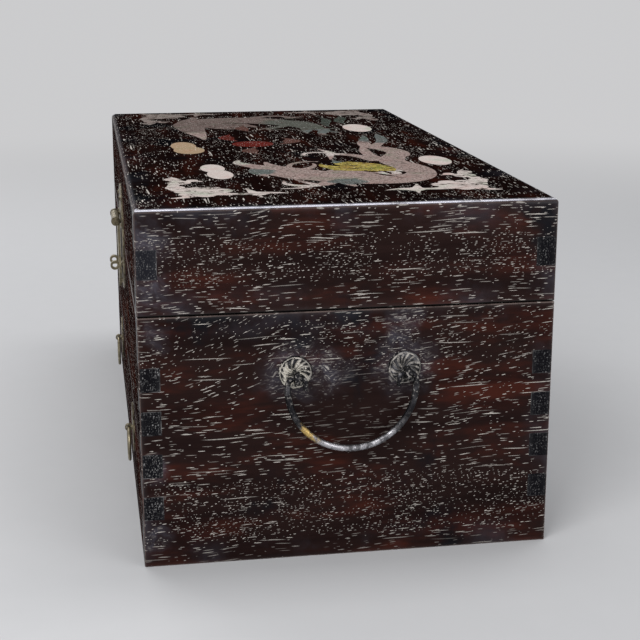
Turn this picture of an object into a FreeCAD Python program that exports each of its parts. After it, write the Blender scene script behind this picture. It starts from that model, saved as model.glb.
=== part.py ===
"""A hardwood case for a set of mahjong tiles.

The case stands on its flat bottom. A deep lid is hinged at the back and closed in front by a
hasp over two staples. Under the lid lies an open well, and under the well two drawers run side
by side and pull out at the front. A wire bail hangs on each end.

Millimetres. X runs along the case and +X is its right-hand end, -Y is the front, +Z is up, and
the origin is the middle of the bottom.
"""

import FreeCAD, Part
import math
import os

Vector = FreeCAD.Vector
ORIGIN = Vector(0, 0, 0)
X_AXIS, Y_AXIS, Z_AXIS = Vector(1, 0, 0), Vector(0, 1, 0), Vector(0, 0, 1)
RIGHT, LEFT = 1, -1  # the two ends
BACK, FRONT = 1, -1  # the two long sides
ABOVE, BELOW = 1, -1  # the two sides of the seam
TOUCH = 1e-6  # two lengths this close are the same

# ---------------------------------------------------------------- the case as a whole
LENGTH = 390.0  # along X
DEPTH = 200.0  # front to back
BASE_HEIGHT = 123.7
LID_HEIGHT = 49.9
SEAM_GAP = 0.4  # between the closed lid and the base
WALL = 10.0  # thickness of every outer board
LID_TOP_THICKNESS = 9.0
BOTTOM_THICKNESS = 9.0
CORNER_RADIUS = 1.0  # upright corners
TOP_EDGE_RADIUS = 2.8  # around the top of the lid
SMALL_EDGE = 0.5  # broken edges at the seam and at the foot

# ---------------------------------------------------------------- corner joints
BASE_FINGERS = 4
BASE_FINGER_HEIGHT = 11.8
BASE_FINGER_GAP = 9.5
LID_FINGER_HEIGHT = 14.0
LID_FINGER_LIFT = 17.5  # from the lid's rim up to its finger

# ---------------------------------------------------------------- well and drawer bays
DRAWER_OPENING_HEIGHT = 47.0
RAIL_OVER_DRAWERS = 4.0  # from the top of an opening to the underside of the well's floor
WELL_FLOOR_THICKNESS = 6.0
PANEL_TONGUE = 4.0  # how far a panel's tongue enters its groove
BOTTOM_TONGUE_THICKNESS = 3.0
FLOOR_TONGUE_THICKNESS = 3.0
PARTITION_THICKNESS = 12.0
PARTITION_TENON = 3.0
PARTITION_TENON_THICKNESS = 6.0
END_STILE = 16.0  # from the end face to the drawer opening
GUIDE_HEIGHT = 12.0
WELL_DIVIDER_THICKNESS = 6.0
WELL_DIVIDER_X = 62.0
WELL_DIVIDER_DROP = 6.0  # from the base's rim down to the divider's top
WELL_DIVIDER_HOUSING = 2.0

# ---------------------------------------------------------------- drawers
DRAWER_SIDE_GAP = 0.4
DRAWER_LIFT = 0.3  # above the board it runs on
DRAWER_TOP_GAP = 0.5
DRAWER_FRONT_THICKNESS = 9.0
DRAWER_SIDE_THICKNESS = 6.5
DRAWER_BACK_THICKNESS = 6.5
DRAWER_SIDE_DROP = 2.0  # the sides are this much lower than the front
DRAWER_BACK_GAP = 1.5  # to the back board of the case
DRAWER_LAP = 3.5  # wood left in front of the side's fingers
DRAWER_PANEL_THICKNESS = 3.5
DRAWER_PANEL_LIFT = 2.5  # under the drawer's bottom panel
DRAWER_PANEL_TONGUE = 3.0
DRAWER_FINGERS = 2
DRAWER_EDGE = 0.6

# ---------------------------------------------------------------- lock
PLATE_RADIUS = 31.0
PLATE_THICKNESS = 1.0
PLATE_BEVEL = 0.5
HASP_THICKNESS = 1.2
HASP_GAP = 0.8  # between the hasp and the plate
HASP_PIVOT_RISE = 11.3  # above the seam
HASP_WIDTH = 23.0
HASP_LOBE_RADIUS = 8.2
HASP_LOBE_X = 6.6
HASP_TIP_RADIUS = 6.5
HASP_TIP_DROP = 8.0  # from the staples down to the middle of the tip
HASP_KNUCKLE_RADIUS = 2.3
PIN_RADIUS = 1.0
PIN_CLEARANCE = 0.08  # of a knuckle that turns on its pin
PIN_HEAD_RADIUS = 1.7
PIN_HEAD_LENGTH = 0.9
EYE_THICKNESS = 2.6
EYE_RADIUS = 2.6
EYE_SIDE_GAP = 0.3
STAPLE_X = 8.2
STAPLE_DROP = 15.8  # below the seam
STAPLE_HOLE_RADIUS = 1.4
STAPLE_REACH = 5.4  # from the wood to the middle of the hole
SLOT_SIDE_CLEARANCE = 0.5
SLOT_END_CLEARANCE = 1.0
SHANK_RADIUS = 1.2
LEG_LENGTH = 6.0  # of the split shank's legs, clenched over the inner face
LEG_WIDTH = 1.6
LEG_THICKNESS = 0.8

# ---------------------------------------------------------------- nails
NAIL_HEAD_RADIUS = 1.7
NAIL_HEAD_TOP_RADIUS = 0.9
NAIL_HEAD_HEIGHT = 0.8
NAIL_SHANK_RADIUS = 0.6
NAIL_LENGTH = 7.0
PLATE_NAIL_RADIUS = 27.0  # from the plate's middle
PLATE_NAIL_ANGLES = (24.0, 64.0, 116.0, 156.0)  # from the seam
LEAF_NAIL_RADIUS = 13.0  # from the hinge's middle
LEAF_NAIL_ANGLES = (38.0, 90.0, 142.0)  # from the seam

# ---------------------------------------------------------------- back hinges
HINGE_X = 112.0
LEAF_RADIUS = 18.0
LEAF_THICKNESS = 1.2
LEAF_SEAM_GAP = 0.7
HINGE_KNUCKLES = 5
HINGE_KNUCKLE_LENGTH = 5.0
HINGE_KNUCKLE_GAP = 0.2
HINGE_KNUCKLE_RADIUS = 2.6
HINGE_STAND_OFF = 0.2  # between the barrel and the wood

# ---------------------------------------------------------------- end handles
POST_SPREAD = 53.0  # between the two posts
POST_HEIGHT = 94.5
ROSETTE_RADIUS = 8.0
ROSETTE_HEIGHT = 3.0
ROSETTE_RIM = 0.8  # thickness at the edge
ROSETTE_PETALS = 14
ROSETTE_FLUTE_RADIUS = 1.1  # of a flute at the edge
ROSETTE_FLUTE_START = 3.0  # from the middle to where the flutes run out
ROSETTE_FLUTE_TIP = 0.2
HANDLE_EYE_REACH = 5.8  # from the wood to the middle of the eye
HANDLE_EYE_DROP = 1.5  # the eye hangs below its shank
HANDLE_EYE_RADIUS = 3.4
HANDLE_EYE_THICKNESS = 2.4
BAIL_WIRE_RADIUS = 1.6
BAIL_END_RADIUS = 1.3  # in its eyes
BAIL_TIP_RADIUS = 1.0
BAIL_EYE_CLEARANCE = 0.3
BAIL_RADIUS = 30.9  # of the half circle, to the middle of the wire
BAIL_ARM_DROP = 5.1  # from the eyes down to the middle of the half circle
BAIL_BEND_RADIUS = 3.0
BAIL_HOOK_RADIUS = 2.4
BAIL_HOOK_GAP = 0.4  # straight wire between the eye and the hook
BAIL_HOOK_TAIL = 3.5

# ---------------------------------------------------------------- drawer pulls
PULL_RISE = 4.0  # of the eye above the middle of the drawer's front
PULL_LOBES = 4
PULL_LOBE_RADIUS = 6.6
PULL_LOBE_REACH = 7.2  # from the plate's middle to a lobe's middle
PULL_PLATE_THICKNESS = 0.8
PULL_EYE_REACH = 2.9
PULL_EYE_RADIUS = 2.0
PULL_EYE_THICKNESS = 1.8
PULL_EYE_HOLE_RADIUS = 1.2
PULL_RING_RADIUS = 9.0
PULL_WIRE_RADIUS = 0.85

# ---------------------------------------------------------------- inlay in the lid
# Drawn on squared paper laid over the lid: places and widths are in squares from the lid's middle.
INLAY_DEPTH = 0.8
INLAY_PROUD = 0.1
SQUARES_ALONG = 195.0  # from the middle of the lid to its end
SQUARES_ACROSS = 100.0  # from the middle of the lid to its side
PEARL = (-17.0, -20.0)
PEARL_RADIUS = 12.5
CLAW_REACH = 13.0
CLAW_SPREAD = (-42.0, 0.0, 42.0)  # of the toes about the foot's heading, in degrees
CLAW_CURL = 18.0  # how far a toe's root turns from its tip
CLOUD_HEAD_RADIUS = 9.5  # from the head's middle to the middles of its lobes
CLOUD_HEAD_LOBES = 7
CLOUD_LOBE_RADIUS = 5.2
NEAR_CLOUD_X = 150.0
FAR_CLOUD_X = -170.0
CLOUD_Y = 64.0

# ---------------------------------------------------------------- worked out from these
HALF_LENGTH = LENGTH / 2
HALF_DEPTH = DEPTH / 2
LID_BOTTOM = BASE_HEIGHT + SEAM_GAP
LID_TOP = LID_BOTTOM + LID_HEIGHT
SEAM_HEIGHT = BASE_HEIGHT + SEAM_GAP / 2
INNER_X = HALF_LENGTH - WALL
INNER_Y = HALF_DEPTH - WALL
OPENING_TOP = BOTTOM_THICKNESS + DRAWER_OPENING_HEIGHT
FLOOR_BOTTOM = OPENING_TOP + RAIL_OVER_DRAWERS
FLOOR_TOP = FLOOR_BOTTOM + WELL_FLOOR_THICKNESS
OPENING_INNER_X = PARTITION_THICKNESS / 2
OPENING_OUTER_X = HALF_LENGTH - END_STILE
DRAWER_LEFT = OPENING_INNER_X + DRAWER_SIDE_GAP  # of the right-hand drawer
DRAWER_RIGHT = OPENING_OUTER_X - DRAWER_SIDE_GAP
DRAWER_X = (DRAWER_LEFT + DRAWER_RIGHT) / 2
DRAWER_BOTTOM = BOTTOM_THICKNESS + DRAWER_LIFT
DRAWER_TOP = OPENING_TOP - DRAWER_TOP_GAP
PULL_HEIGHT = (DRAWER_BOTTOM + DRAWER_TOP) / 2 + PULL_RISE
HASP_BACK = HALF_DEPTH + PLATE_THICKNESS + HASP_GAP  # from the middle to the hasp's back
HASP_PIVOT_REACH = HASP_BACK + HASP_KNUCKLE_RADIUS - HALF_DEPTH  # from the wood to the pin
HASP_PIVOT_Z = SEAM_HEIGHT + HASP_PIVOT_RISE
HASP_EYE_X = HASP_WIDTH / 2 + EYE_SIDE_GAP + EYE_THICKNESS / 2
STAPLE_Z = SEAM_HEIGHT - STAPLE_DROP
HINGE_Y = HALF_DEPTH + HINGE_STAND_OFF + HINGE_KNUCKLE_RADIUS
SQUARE_LENGTH = HALF_LENGTH / SQUARES_ALONG
SQUARE_DEPTH = HALF_DEPTH / SQUARES_ACROSS
SQUARE = min(SQUARE_LENGTH, SQUARE_DEPTH)  # for widths and round shapes


# ================================================================ helpers
def block(x0, x1, y0, y1, z0, z1):
    """A box between two corners, given in any order."""
    (x0, x1), (y0, y1), (z0, z1) = sorted((x0, x1)), sorted((y0, y1)), sorted((z0, z1))
    return Part.makeBox(x1 - x0, y1 - y0, z1 - z0, Vector(x0, y0, z0))


def rod(radius, start, along):
    """A cylinder from its start point along a vector."""
    return Part.makeCylinder(radius, along.Length, start, along)


def prism(points, along):
    """A straight-sided outline pushed along a vector."""
    return Part.Face(Part.makePolygon(points + points[:1])).extrude(along)


def union(shapes):
    """One solid from shapes that meet."""
    return shapes[0].fuse(shapes[1:]).removeSplitter()


def mirrored(shape):
    """The same shape at the other end of the case."""
    return shape.mirror(ORIGIN, X_AXIS)


def arc(middle, radius, across, up, angles):
    """An arc through three angles, in degrees from across towards up."""
    return Part.Arc(
        *[
            middle + across * (radius * math.cos(math.radians(a))) + up * (radius * math.sin(math.radians(a)))
            for a in angles
        ]
    )


def wire_of(curves):
    return Part.Wire([curve.toShape() for curve in curves])


def save(name, shapes):
    """Writes one node: a single solid, or a group of separate ones."""
    solids = [solid for shape in shapes for solid in shape.Solids]
    whole = solids[0] if len(solids) == 1 else Part.makeCompound(solids)
    whole.exportStep(os.path.join("parts", name + ".step"))


# ================================================================ the outside of the case
def edge_profile(start, side, half, bottom, top, top_radius):
    """The case's cross-section between two heights: bevelled below and rounded above."""

    def at(across, height):
        return start + side * across + Z_AXIS * height

    foot = half - SMALL_EDGE
    shoulder = half - top_radius
    lines = [
        Part.LineSegment(at(-foot, bottom), at(foot, bottom)),
        Part.LineSegment(at(foot, bottom), at(half, bottom + SMALL_EDGE)),
        Part.LineSegment(at(half, bottom + SMALL_EDGE), at(half, top - top_radius)),
        arc(at(shoulder, top - top_radius), top_radius, side, Z_AXIS, (0, 45, 90)),
        Part.LineSegment(at(shoulder, top), at(-shoulder, top)),
        arc(at(-shoulder, top - top_radius), top_radius, side, Z_AXIS, (90, 135, 180)),
        Part.LineSegment(at(-half, top - top_radius), at(-half, bottom + SMALL_EDGE)),
        Part.LineSegment(at(-half, bottom + SMALL_EDGE), at(-foot, bottom)),
    ]
    return Part.Face(wire_of(lines))


def outside(bottom, top, top_radius):
    """The full block of the base or of the lid, with all its outer edges broken."""
    whole = block(-HALF_LENGTH, HALF_LENGTH, -HALF_DEPTH, HALF_DEPTH, bottom, top)
    upright = [edge for edge in whole.Edges if abs(edge.Length - (top - bottom)) < TOUCH]
    whole = whole.makeFillet(CORNER_RADIUS, upright)
    across = edge_profile(X_AXIS * -HALF_LENGTH, Y_AXIS, HALF_DEPTH, bottom, top, top_radius)
    along = edge_profile(Y_AXIS * -HALF_DEPTH, X_AXIS, HALF_LENGTH, bottom, top, top_radius)
    return whole.common(across.extrude(X_AXIS * LENGTH)).common(along.extrude(Y_AXIS * DEPTH))


# ================================================================ finger-jointed boards
def finger_spans(bottom, top, count, height, gap):
    """Lower and upper side of each finger, centred in the board's height."""
    margin = (top - bottom - count * height - (count - 1) * gap) / 2
    starts = [bottom + margin + k * (height + gap) for k in range(count)]
    return [(start, start + height) for start in starts]


def fingers(side, spans):
    """A long board's fingers, at both ends of the case."""
    return [
        block(end * INNER_X, end * HALF_LENGTH, side * INNER_Y, side * HALF_DEPTH, low, high)
        for end in (RIGHT, LEFT)
        for low, high in spans
    ]


def long_board(side, bottom, top, spans):
    """The front board or the back board, whose fingers pass right through the end boards."""
    board = block(-INNER_X, INNER_X, side * INNER_Y, side * HALF_DEPTH, bottom, top)
    return union([board] + fingers(side, spans))


def end_board(end, bottom, top, spans):
    """The right-hand or the left-hand end board, notched for the fingers."""
    board = block(end * INNER_X, end * HALF_LENGTH, -HALF_DEPTH, HALF_DEPTH, bottom, top)
    return board.cut(fingers(FRONT, spans) + fingers(BACK, spans))


def carcass(bottom, top, spans, top_radius):
    """The four outer boards of the base or of the lid."""
    limit = outside(bottom, top, top_radius)
    return {
        "front": long_board(FRONT, bottom, top, spans).common(limit),
        "back": long_board(BACK, bottom, top, spans).common(limit),
        "right_end": end_board(RIGHT, bottom, top, spans).common(limit),
        "left_end": end_board(LEFT, bottom, top, spans).common(limit),
    }


# ================================================================ split-shank eyes
def eye_post(foot, outward, board, reach, radius, thickness, hole_radius, drop=0.0):
    """A ring on a split shank that goes through a board and is clenched inside.

    foot is the point on the board's outer face, outward points away from the wood, board is its
    thickness, reach is from the wood to the middle of the ring, and the ring hangs by drop.
    """
    across = Z_AXIS.cross(outward)
    middle = foot + outward * reach - Z_AXIS * drop
    ring = rod(radius, middle - across * (thickness / 2), across * thickness)
    hole = rod(hole_radius, middle - across * thickness, across * (2 * thickness))
    clenched = foot - outward * board
    shank = rod(SHANK_RADIUS, clenched, outward * (board + reach - hole_radius))
    legs = prism(
        [
            clenched + across * (LEG_WIDTH / 2) * a + Z_AXIS * (LEG_LENGTH * b)
            for a, b in ((-1, -1), (1, -1), (1, 1), (-1, 1))
        ],
        outward * -LEG_THICKNESS,
    )
    return union([ring, shank, legs]).cut(hole)


def shank_hole(foot, outward, board):
    """The hole that an eye's shank passes in its board."""
    return rod(SHANK_RADIUS, foot, outward * -board)


def hasp_eye_feet():
    return [Vector(end * HASP_EYE_X, -HALF_DEPTH, HASP_PIVOT_Z) for end in (LEFT, RIGHT)]


def staple_feet():
    return [Vector(end * STAPLE_X, -HALF_DEPTH, STAPLE_Z) for end in (LEFT, RIGHT)]


def handle_feet(end):
    return [Vector(end * HALF_LENGTH, side * POST_SPREAD / 2, POST_HEIGHT) for side in (FRONT, BACK)]


# ================================================================ base
def floor_panel(bottom, top, tongue_thickness):
    """A panel that fills the inside, with a tongue all round for the boards' grooves."""
    low = (bottom + top - tongue_thickness) / 2
    reach_x, reach_y = INNER_X + PANEL_TONGUE, INNER_Y + PANEL_TONGUE
    panel = block(-INNER_X, INNER_X, -INNER_Y, INNER_Y, bottom, top)
    return union([panel, block(-reach_x, reach_x, -reach_y, reach_y, low, low + tongue_thickness)])


def drawer_partition():
    """The board between the two drawers, tenoned into the front and the back board."""
    half, tenon = PARTITION_THICKNESS / 2, PARTITION_TENON_THICKNESS / 2
    reach = INNER_Y + PARTITION_TENON
    board = block(-half, half, -INNER_Y, INNER_Y, BOTTOM_THICKNESS, FLOOR_BOTTOM)
    return union([board, block(-tenon, tenon, -reach, reach, BOTTOM_THICKNESS, FLOOR_BOTTOM)])


def drawer_guide():
    """The strip that keeps the right-hand drawer off the end board."""
    top = BOTTOM_THICKNESS + GUIDE_HEIGHT
    return block(OPENING_OUTER_X, INNER_X, -INNER_Y, INNER_Y, BOTTOM_THICKNESS, top)


def well_divider():
    """The cross board in the well, housed in the front and the back board."""
    half = WELL_DIVIDER_THICKNESS / 2
    reach = INNER_Y + WELL_DIVIDER_HOUSING
    top = BASE_HEIGHT - WELL_DIVIDER_DROP
    return block(WELL_DIVIDER_X - half, WELL_DIVIDER_X + half, -reach, reach, FLOOR_TOP, top)


def drawer_opening(end):
    """The window that one drawer passes in the front board."""
    return block(
        end * OPENING_INNER_X, end * OPENING_OUTER_X, -HALF_DEPTH, -INNER_Y, BOTTOM_THICKNESS, OPENING_TOP
    )


def build_base():
    spans = finger_spans(0, BASE_HEIGHT, BASE_FINGERS, BASE_FINGER_HEIGHT, BASE_FINGER_GAP)
    boards = carcass(0, BASE_HEIGHT, spans, SMALL_EDGE)
    inside = {
        "base_bottom": floor_panel(0, BOTTOM_THICKNESS, BOTTOM_TONGUE_THICKNESS),
        "well_floor": floor_panel(FLOOR_BOTTOM, FLOOR_TOP, FLOOR_TONGUE_THICKNESS),
        "drawer_partition": drawer_partition(),
        "well_divider": well_divider(),
    }
    for name in boards:
        boards[name] = boards[name].cut(list(inside.values()))
    staple_holes = [shank_hole(foot, -Y_AXIS, WALL) for foot in staple_feet()]
    boards["front"] = boards["front"].cut([drawer_opening(RIGHT), drawer_opening(LEFT)] + staple_holes)
    for name, end in (("right_end", RIGHT), ("left_end", LEFT)):
        boards[name] = boards[name].cut([shank_hole(foot, X_AXIS * end, WALL) for foot in handle_feet(end)])
    for name, shape in boards.items():
        yield "base_" + name, [shape]
    for name, shape in inside.items():
        yield name, [shape]
    yield "drawer_guides", [drawer_guide(), mirrored(drawer_guide())]


# ================================================================ lid
def lid_panel():
    """The top board, mitred all round into the lid's sides."""
    low = LID_TOP - LID_TOP_THICKNESS

    def wedge(half, side, start, along):
        lip = half - LID_TOP_THICKNESS
        corners = ((-lip, low), (lip, low), (half, LID_TOP), (-half, LID_TOP))
        return prism([start + side * across + Z_AXIS * height for across, height in corners], along)

    across = wedge(HALF_DEPTH, Y_AXIS, X_AXIS * -HALF_LENGTH, X_AXIS * LENGTH)
    along = wedge(HALF_LENGTH, X_AXIS, Y_AXIS * -HALF_DEPTH, Y_AXIS * DEPTH)
    return across.common(along)


def build_lid(inlays):
    low = LID_BOTTOM + LID_FINGER_LIFT
    boards = carcass(LID_BOTTOM, LID_TOP, [(low, low + LID_FINGER_HEIGHT)], TOP_EDGE_RADIUS)
    panel = lid_panel()
    for name in boards:
        boards[name] = boards[name].cut(panel)
    boards["front"] = boards["front"].cut([shank_hole(foot, -Y_AXIS, WALL) for foot in hasp_eye_feet()])
    for name, shape in boards.items():
        yield "lid_" + name, [shape]
    pockets = [plate for plates in inlays.values() for plate in plates]
    yield "lid_top", [panel.common(outside(LID_BOTTOM, LID_TOP, TOP_EDGE_RADIUS)).cut(pockets)]


# ================================================================ outlines of the inlay
def on_lid(x, y):
    """A point of the drawing, from squares to millimetres."""
    return Vector(x * SQUARE_LENGTH, y * SQUARE_DEPTH, 0)


def ribbon(points, widths):
    """A flat tapering band about a smooth line through points; widths are spread evenly along it."""
    line = Part.BSplineCurve()
    line.interpolate([on_lid(x, y) for x, y in points])
    left, right = [], []
    steps = 2 * (len(points) - 1)
    for k in range(steps + 1):
        place = line.FirstParameter + (line.LastParameter - line.FirstParameter) * k / steps
        heading = line.tangent(place)[0]
        across = Vector(-heading.y, heading.x, 0) * (SQUARE * width_at(widths, k / steps) / 2)
        left.append(line.value(place) + across)
        right.append(line.value(place) - across)
    return smooth_outline(left, right[::-1])


def width_at(widths, share):
    """The width at a share of the length, in straight steps between the given widths."""
    place = share * (len(widths) - 1)
    k = min(int(place), len(widths) - 2)
    return widths[k] + (widths[k + 1] - widths[k]) * (place - k)


def smooth_outline(left, right):
    """A face between two smooth sides, closed by a short straight line at each end."""
    curves = [Part.BSplineCurve(), Part.BSplineCurve()]
    curves[0].interpolate(left)
    curves[1].interpolate(right)
    ends = [Part.LineSegment(left[-1], right[0]), Part.LineSegment(right[-1], left[0])]
    return Part.Face(wire_of([curves[0], ends[0], curves[1], ends[1]]))


def disc(x, y, radius):
    return Part.Face(Part.Wire(Part.makeCircle(SQUARE * radius, on_lid(x, y))))


def oval(x, y, half_x, half_y):
    """An oval outline, longer along X than along Y."""
    ellipse = Part.Ellipse(on_lid(x, y), SQUARE * half_x, SQUARE * half_y)
    return Part.Face(Part.Wire(ellipse.toShape()))


def let_in(outlines):
    """One plate from outlines that overlap: let into the lid's top and standing a little proud."""
    plates = [outline.extrude(Z_AXIS * (INLAY_DEPTH + INLAY_PROUD)) for outline in outlines]
    for plate in plates:
        plate.translate(Z_AXIS * (LID_TOP - INLAY_DEPTH))
    return union(plates) if len(plates) > 1 else plates[0]


# ================================================================ inlay
def claw(x, y, heading):
    """Three curled toes that fan out from a foot; heading in degrees from X."""
    toes = []
    for spread in CLAW_SPREAD:
        root, tip = math.radians(heading + spread - CLAW_CURL), math.radians(heading + spread)
        knuckle = (x + CLAW_REACH / 2 * math.cos(root), y + CLAW_REACH / 2 * math.sin(root))
        nail_tip = (x + CLAW_REACH * math.cos(tip), y + CLAW_REACH * math.sin(tip))
        toes.append(ribbon([(x, y), knuckle, nail_tip], [3.4, 3, 0.8]))
    return toes


def strands(lines):
    """A band for each pair of points and widths."""
    return [ribbon(points, widths) for points, widths in lines]


def moved(lines, x, y, along, across):
    """Lines drawn about the origin, mirrored by the two signs and moved to x and y."""
    return [([(x + along * dx, y + across * dy) for dx, dy in points], widths) for points, widths in lines]


def right_dragon():
    """The right-hand dragon without its mane: forked tail, great loop, jaws, horn, beard and feet."""
    body = (
        ([(-52, 63), (-36, 62), (-20, 60), (-6, 55), (6, 49)], [1, 6, 7, 6, 8]),
        ([(-46, 53), (-30, 51), (-12, 47), (4, 47), (16, 54), (30, 58), (46, 55)], [1, 5, 7, 9, 12, 13, 13]),
        ([(36, 58), (50, 52), (66, 48), (86, 52), (106, 51), (124, 40), (124, 20), (112, 3)],
         [13, 14, 16, 19, 24, 28, 30, 30]),
        ([(2, 43), (20, 41), (40, 40), (62, 44)], [2, 6, 7, 10]),
        ([(116, 34), (108, 20), (98, 4)], [10, 20, 26]),
        ([(100, 44), (108, 37), (111, 26)], [8, 14, 14]),
        ([(116, 8), (105, -7), (91, -17), (78, -24)], [26, 31, 27, 18]),
    )
    head = (
        ([(84, -25), (70, -31), (60, -37), (50, -36)], [14, 10, 7, 2]),
        ([(82, -16), (70, -21), (58, -22)], [10, 6, 2]),
        ([(80, -29), (93, -31), (108, -27)], [8, 8, 2]),
        ([(82, -12), (70, -10), (62, -4), (61, 7)], [4, 3, 3, 1]),
        ([(90, -10), (79, 1), (67, 3)], [6, 4, 1]),
    )
    feet = (
        ([(62, 40), (48, 35), (37, 28), (33, 18)], [9, 8, 7, 6]),
        ([(34, 21), (24, 19), (12, 15)], [5, 4, 1]),
        ([(33, 19), (25, 11), (28, 5), (38, 5)], [5, 3, 3, 1]),
        ([(34, 18), (44, 17), (54, 15)], [5, 3, 1]),
        ([(112, 6), (127, 3), (138, -4), (141, -14)], [13, 10, 8, 5]),
        ([(141, -11), (136, -20), (124, -21)], [5, 4, 1]),
        ([(138, -6), (130, -11), (120, -15)], [5, 3, 1]),
        ([(140, -8), (146, -16), (147, -26)], [5, 3, 1]),
        ([(118, 12), (131, 9), (146, 12)], [9, 8, 2]),
    )
    between_toes = (
        ([(99, 41), (105, 45), (113, 42)], [1, 3, 1]),
        ([(106, 29), (112, 33), (120, 39)], [1.5, 3.5, 1]),
        ([(99, 34), (105, 37), (111, 37)], [1, 3, 1]),
    )
    return let_in(strands(body + head + feet)).cut(let_in(strands(between_toes)))


def left_dragon():
    """The left-hand dragon without its mane, looking back over its loop."""
    body = (
        ([(-42, -47), (-62, -48), (-82, -50), (-102, -51), (-122, -48), (-136, -36),
          (-139, -18), (-132, 0), (-118, 12)], [2, 8, 14, 19, 24, 27, 30, 30, 26]),
        ([(-126, 8), (-112, 20), (-96, 27), (-82, 27)], [26, 26, 19, 14]),
        ([(-126, -50), (-142, -50), (-152, -45), (-163, -46)], [12, 9, 6, 1]),
    )
    head = (
        ([(-86, 29), (-72, 33), (-62, 30), (-50, 32)], [11, 8, 6, 2]),
        ([(-86, 24), (-74, 22), (-62, 20)], [9, 6, 1]),
        ([(-90, 31), (-83, 38), (-84, 45)], [5, 3, 1]),
        ([(-72, 34), (-64, 41), (-53, 40)], [3, 2, 1]),
    )
    feet = (
        ([(-140, -8), (-154, 0), (-160, 12), (-152, 20)], [11, 9, 6, 5]),
        ([(-110, 13), (-98, 8), (-92, 0)], [8, 6, 5]),
    )
    return let_in(strands(body + head + feet) + claw(-152, 20, 60) + claw(-92, 0, 5))


def mane(x, y, along):
    """Three locks of a mane inside a dragon's loop; x and y are its crown."""
    locks = (
        ([(1, -2), (-11, 0), (-23, -6), (-33, -14)], [16, 14, 10, 1]),
        ([(1, -10), (-13, -10), (-25, -16), (-39, -20)], [14, 16, 11, 1]),
        ([(-1, -20), (-11, -22), (-19, -28), (-27, -29)], [14, 12, 7, 1]),
    )
    return let_in(strands(moved(locks, x, y, along, along)))


def sea_scrolls():
    """Two bands of sea spray behind the left-hand dragon."""
    bands = (
        ([(-151, 57), (-138, 56), (-122, 52), (-108, 54)], [1, 8, 7, 1]),
        ([(-146, 42), (-128, 44), (-108, 40), (-92, 41)], [1, 7, 6, 1]),
    )
    return [let_in([band]) for band in strands(bands)]


def corner_cloud(x, y, along, across):
    """A cloud in a corner of the lid: a scalloped head, a string of puffs and a wisp on a neck."""
    ring = [2 * math.pi * k / CLOUD_HEAD_LOBES for k in range(CLOUD_HEAD_LOBES)]
    head = [(0, 0, CLOUD_HEAD_RADIUS)]
    head += [
        (CLOUD_HEAD_RADIUS * math.cos(turn), CLOUD_HEAD_RADIUS * math.sin(turn), CLOUD_LOBE_RADIUS)
        for turn in ring
    ]
    puffs = [(-14, 13, 5), (-29, 10, 6), (-35, 3, 3), (-40, 13, 4), (9, -25, 5)]
    discs = [disc(x + along * dx, y + across * dy, radius) for dx, dy, radius in head + puffs]
    wisps = (
        ([(-2, 8), (-16, 14), (-32, 11), (-48, 14)], [8, 6, 6, 1]),
        ([(7, -8), (9, -18), (8, -28), (10, -40)], [7, 4, 6, 1]),
        ([(20, -26), (9, -24), (-6, -21)], [1, 5, 1]),
        ([(-30, 8), (-33, 2), (-31, -2)], [5, 3, 1]),
        ([(8, 6), (14, 10), (16, 17)], [8, 5, 1]),
    )
    return let_in(discs + strands(moved(wisps, x, y, along, across)))


def flames():
    """Tongues of flame about the pearl, and one that the left-hand dragon breathes."""
    x, y = PEARL
    tongues = (
        ([(x + 3, y + 16), (x - 9, y + 25), (x - 25, y + 21)], [2, 11, 1]),
        ([(x - 15, y - 8), (x - 30, y - 13), (x - 46, y - 9)], [2, 10, 1]),
        ([(x + 16, y), (x + 28, y - 5), (x + 43, y - 1)], [2, 10, 1]),
        ([(x - 60, y + 5), (x - 76, y + 2), (x - 91, y + 5)], [1, 9, 1]),
    )
    return [let_in([tongue]) for tongue in strands(tongues)]


def build_inlays():
    flame_plates = flames()
    manes = [mane(97, 36, RIGHT), mane(-122, -38, LEFT).cut(flame_plates)]
    return {
        "inlay_right_dragon": [right_dragon().cut(manes)],
        "inlay_left_dragon": [left_dragon().cut(manes + flame_plates)],
        "inlay_manes": manes,
        "inlay_sea_scrolls": sea_scrolls(),
        "inlay_clouds": [
            corner_cloud(x, side * CLOUD_Y, end, side)
            for x, end in ((NEAR_CLOUD_X, RIGHT), (FAR_CLOUD_X, LEFT))
            for side in (FRONT, BACK)
        ],
        "inlay_discs": [
            let_in([oval(66, 72, 17.5, 8.5)]),
            let_in([oval(76, -53, 14, 6.5), oval(98, -51, 15, 6.8)]),
            let_in([oval(-84, 57, 20, 9)]),
            let_in([oval(-14, -62, 18, 7.5), oval(4, -60, 15, 9)]),
        ],
        "inlay_flames": flame_plates,
        "inlay_pearl": [let_in([disc(*PEARL, PEARL_RADIUS)])],
    }


# ================================================================ nails
def nail(spot, outward):
    """A domed nail whose head's underside lies at spot."""
    head = Part.makeCone(NAIL_HEAD_RADIUS, NAIL_HEAD_TOP_RADIUS, NAIL_HEAD_HEIGHT, spot, outward)
    return union([head, rod(NAIL_SHANK_RADIUS, spot, outward * -NAIL_LENGTH)])


def nails_round(x, side, plate, circle, angles, up):
    """Nails through a plate, on a circle about the seam and on one side of it."""
    spots = [
        Vector(
            x + circle * math.cos(math.radians(angle)),
            side * (HALF_DEPTH + plate),
            SEAM_HEIGHT + up * circle * math.sin(math.radians(angle)),
        )
        for angle in angles
    ]
    return [nail(spot, Y_AXIS * side) for spot in spots]


def plate_nails(up):
    return nails_round(0, FRONT, PLATE_THICKNESS, PLATE_NAIL_RADIUS, PLATE_NAIL_ANGLES, up)


def leaf_nails(up):
    return nails_round(HINGE_X, BACK, LEAF_THICKNESS, LEAF_NAIL_RADIUS, LEAF_NAIL_ANGLES, up)


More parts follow.
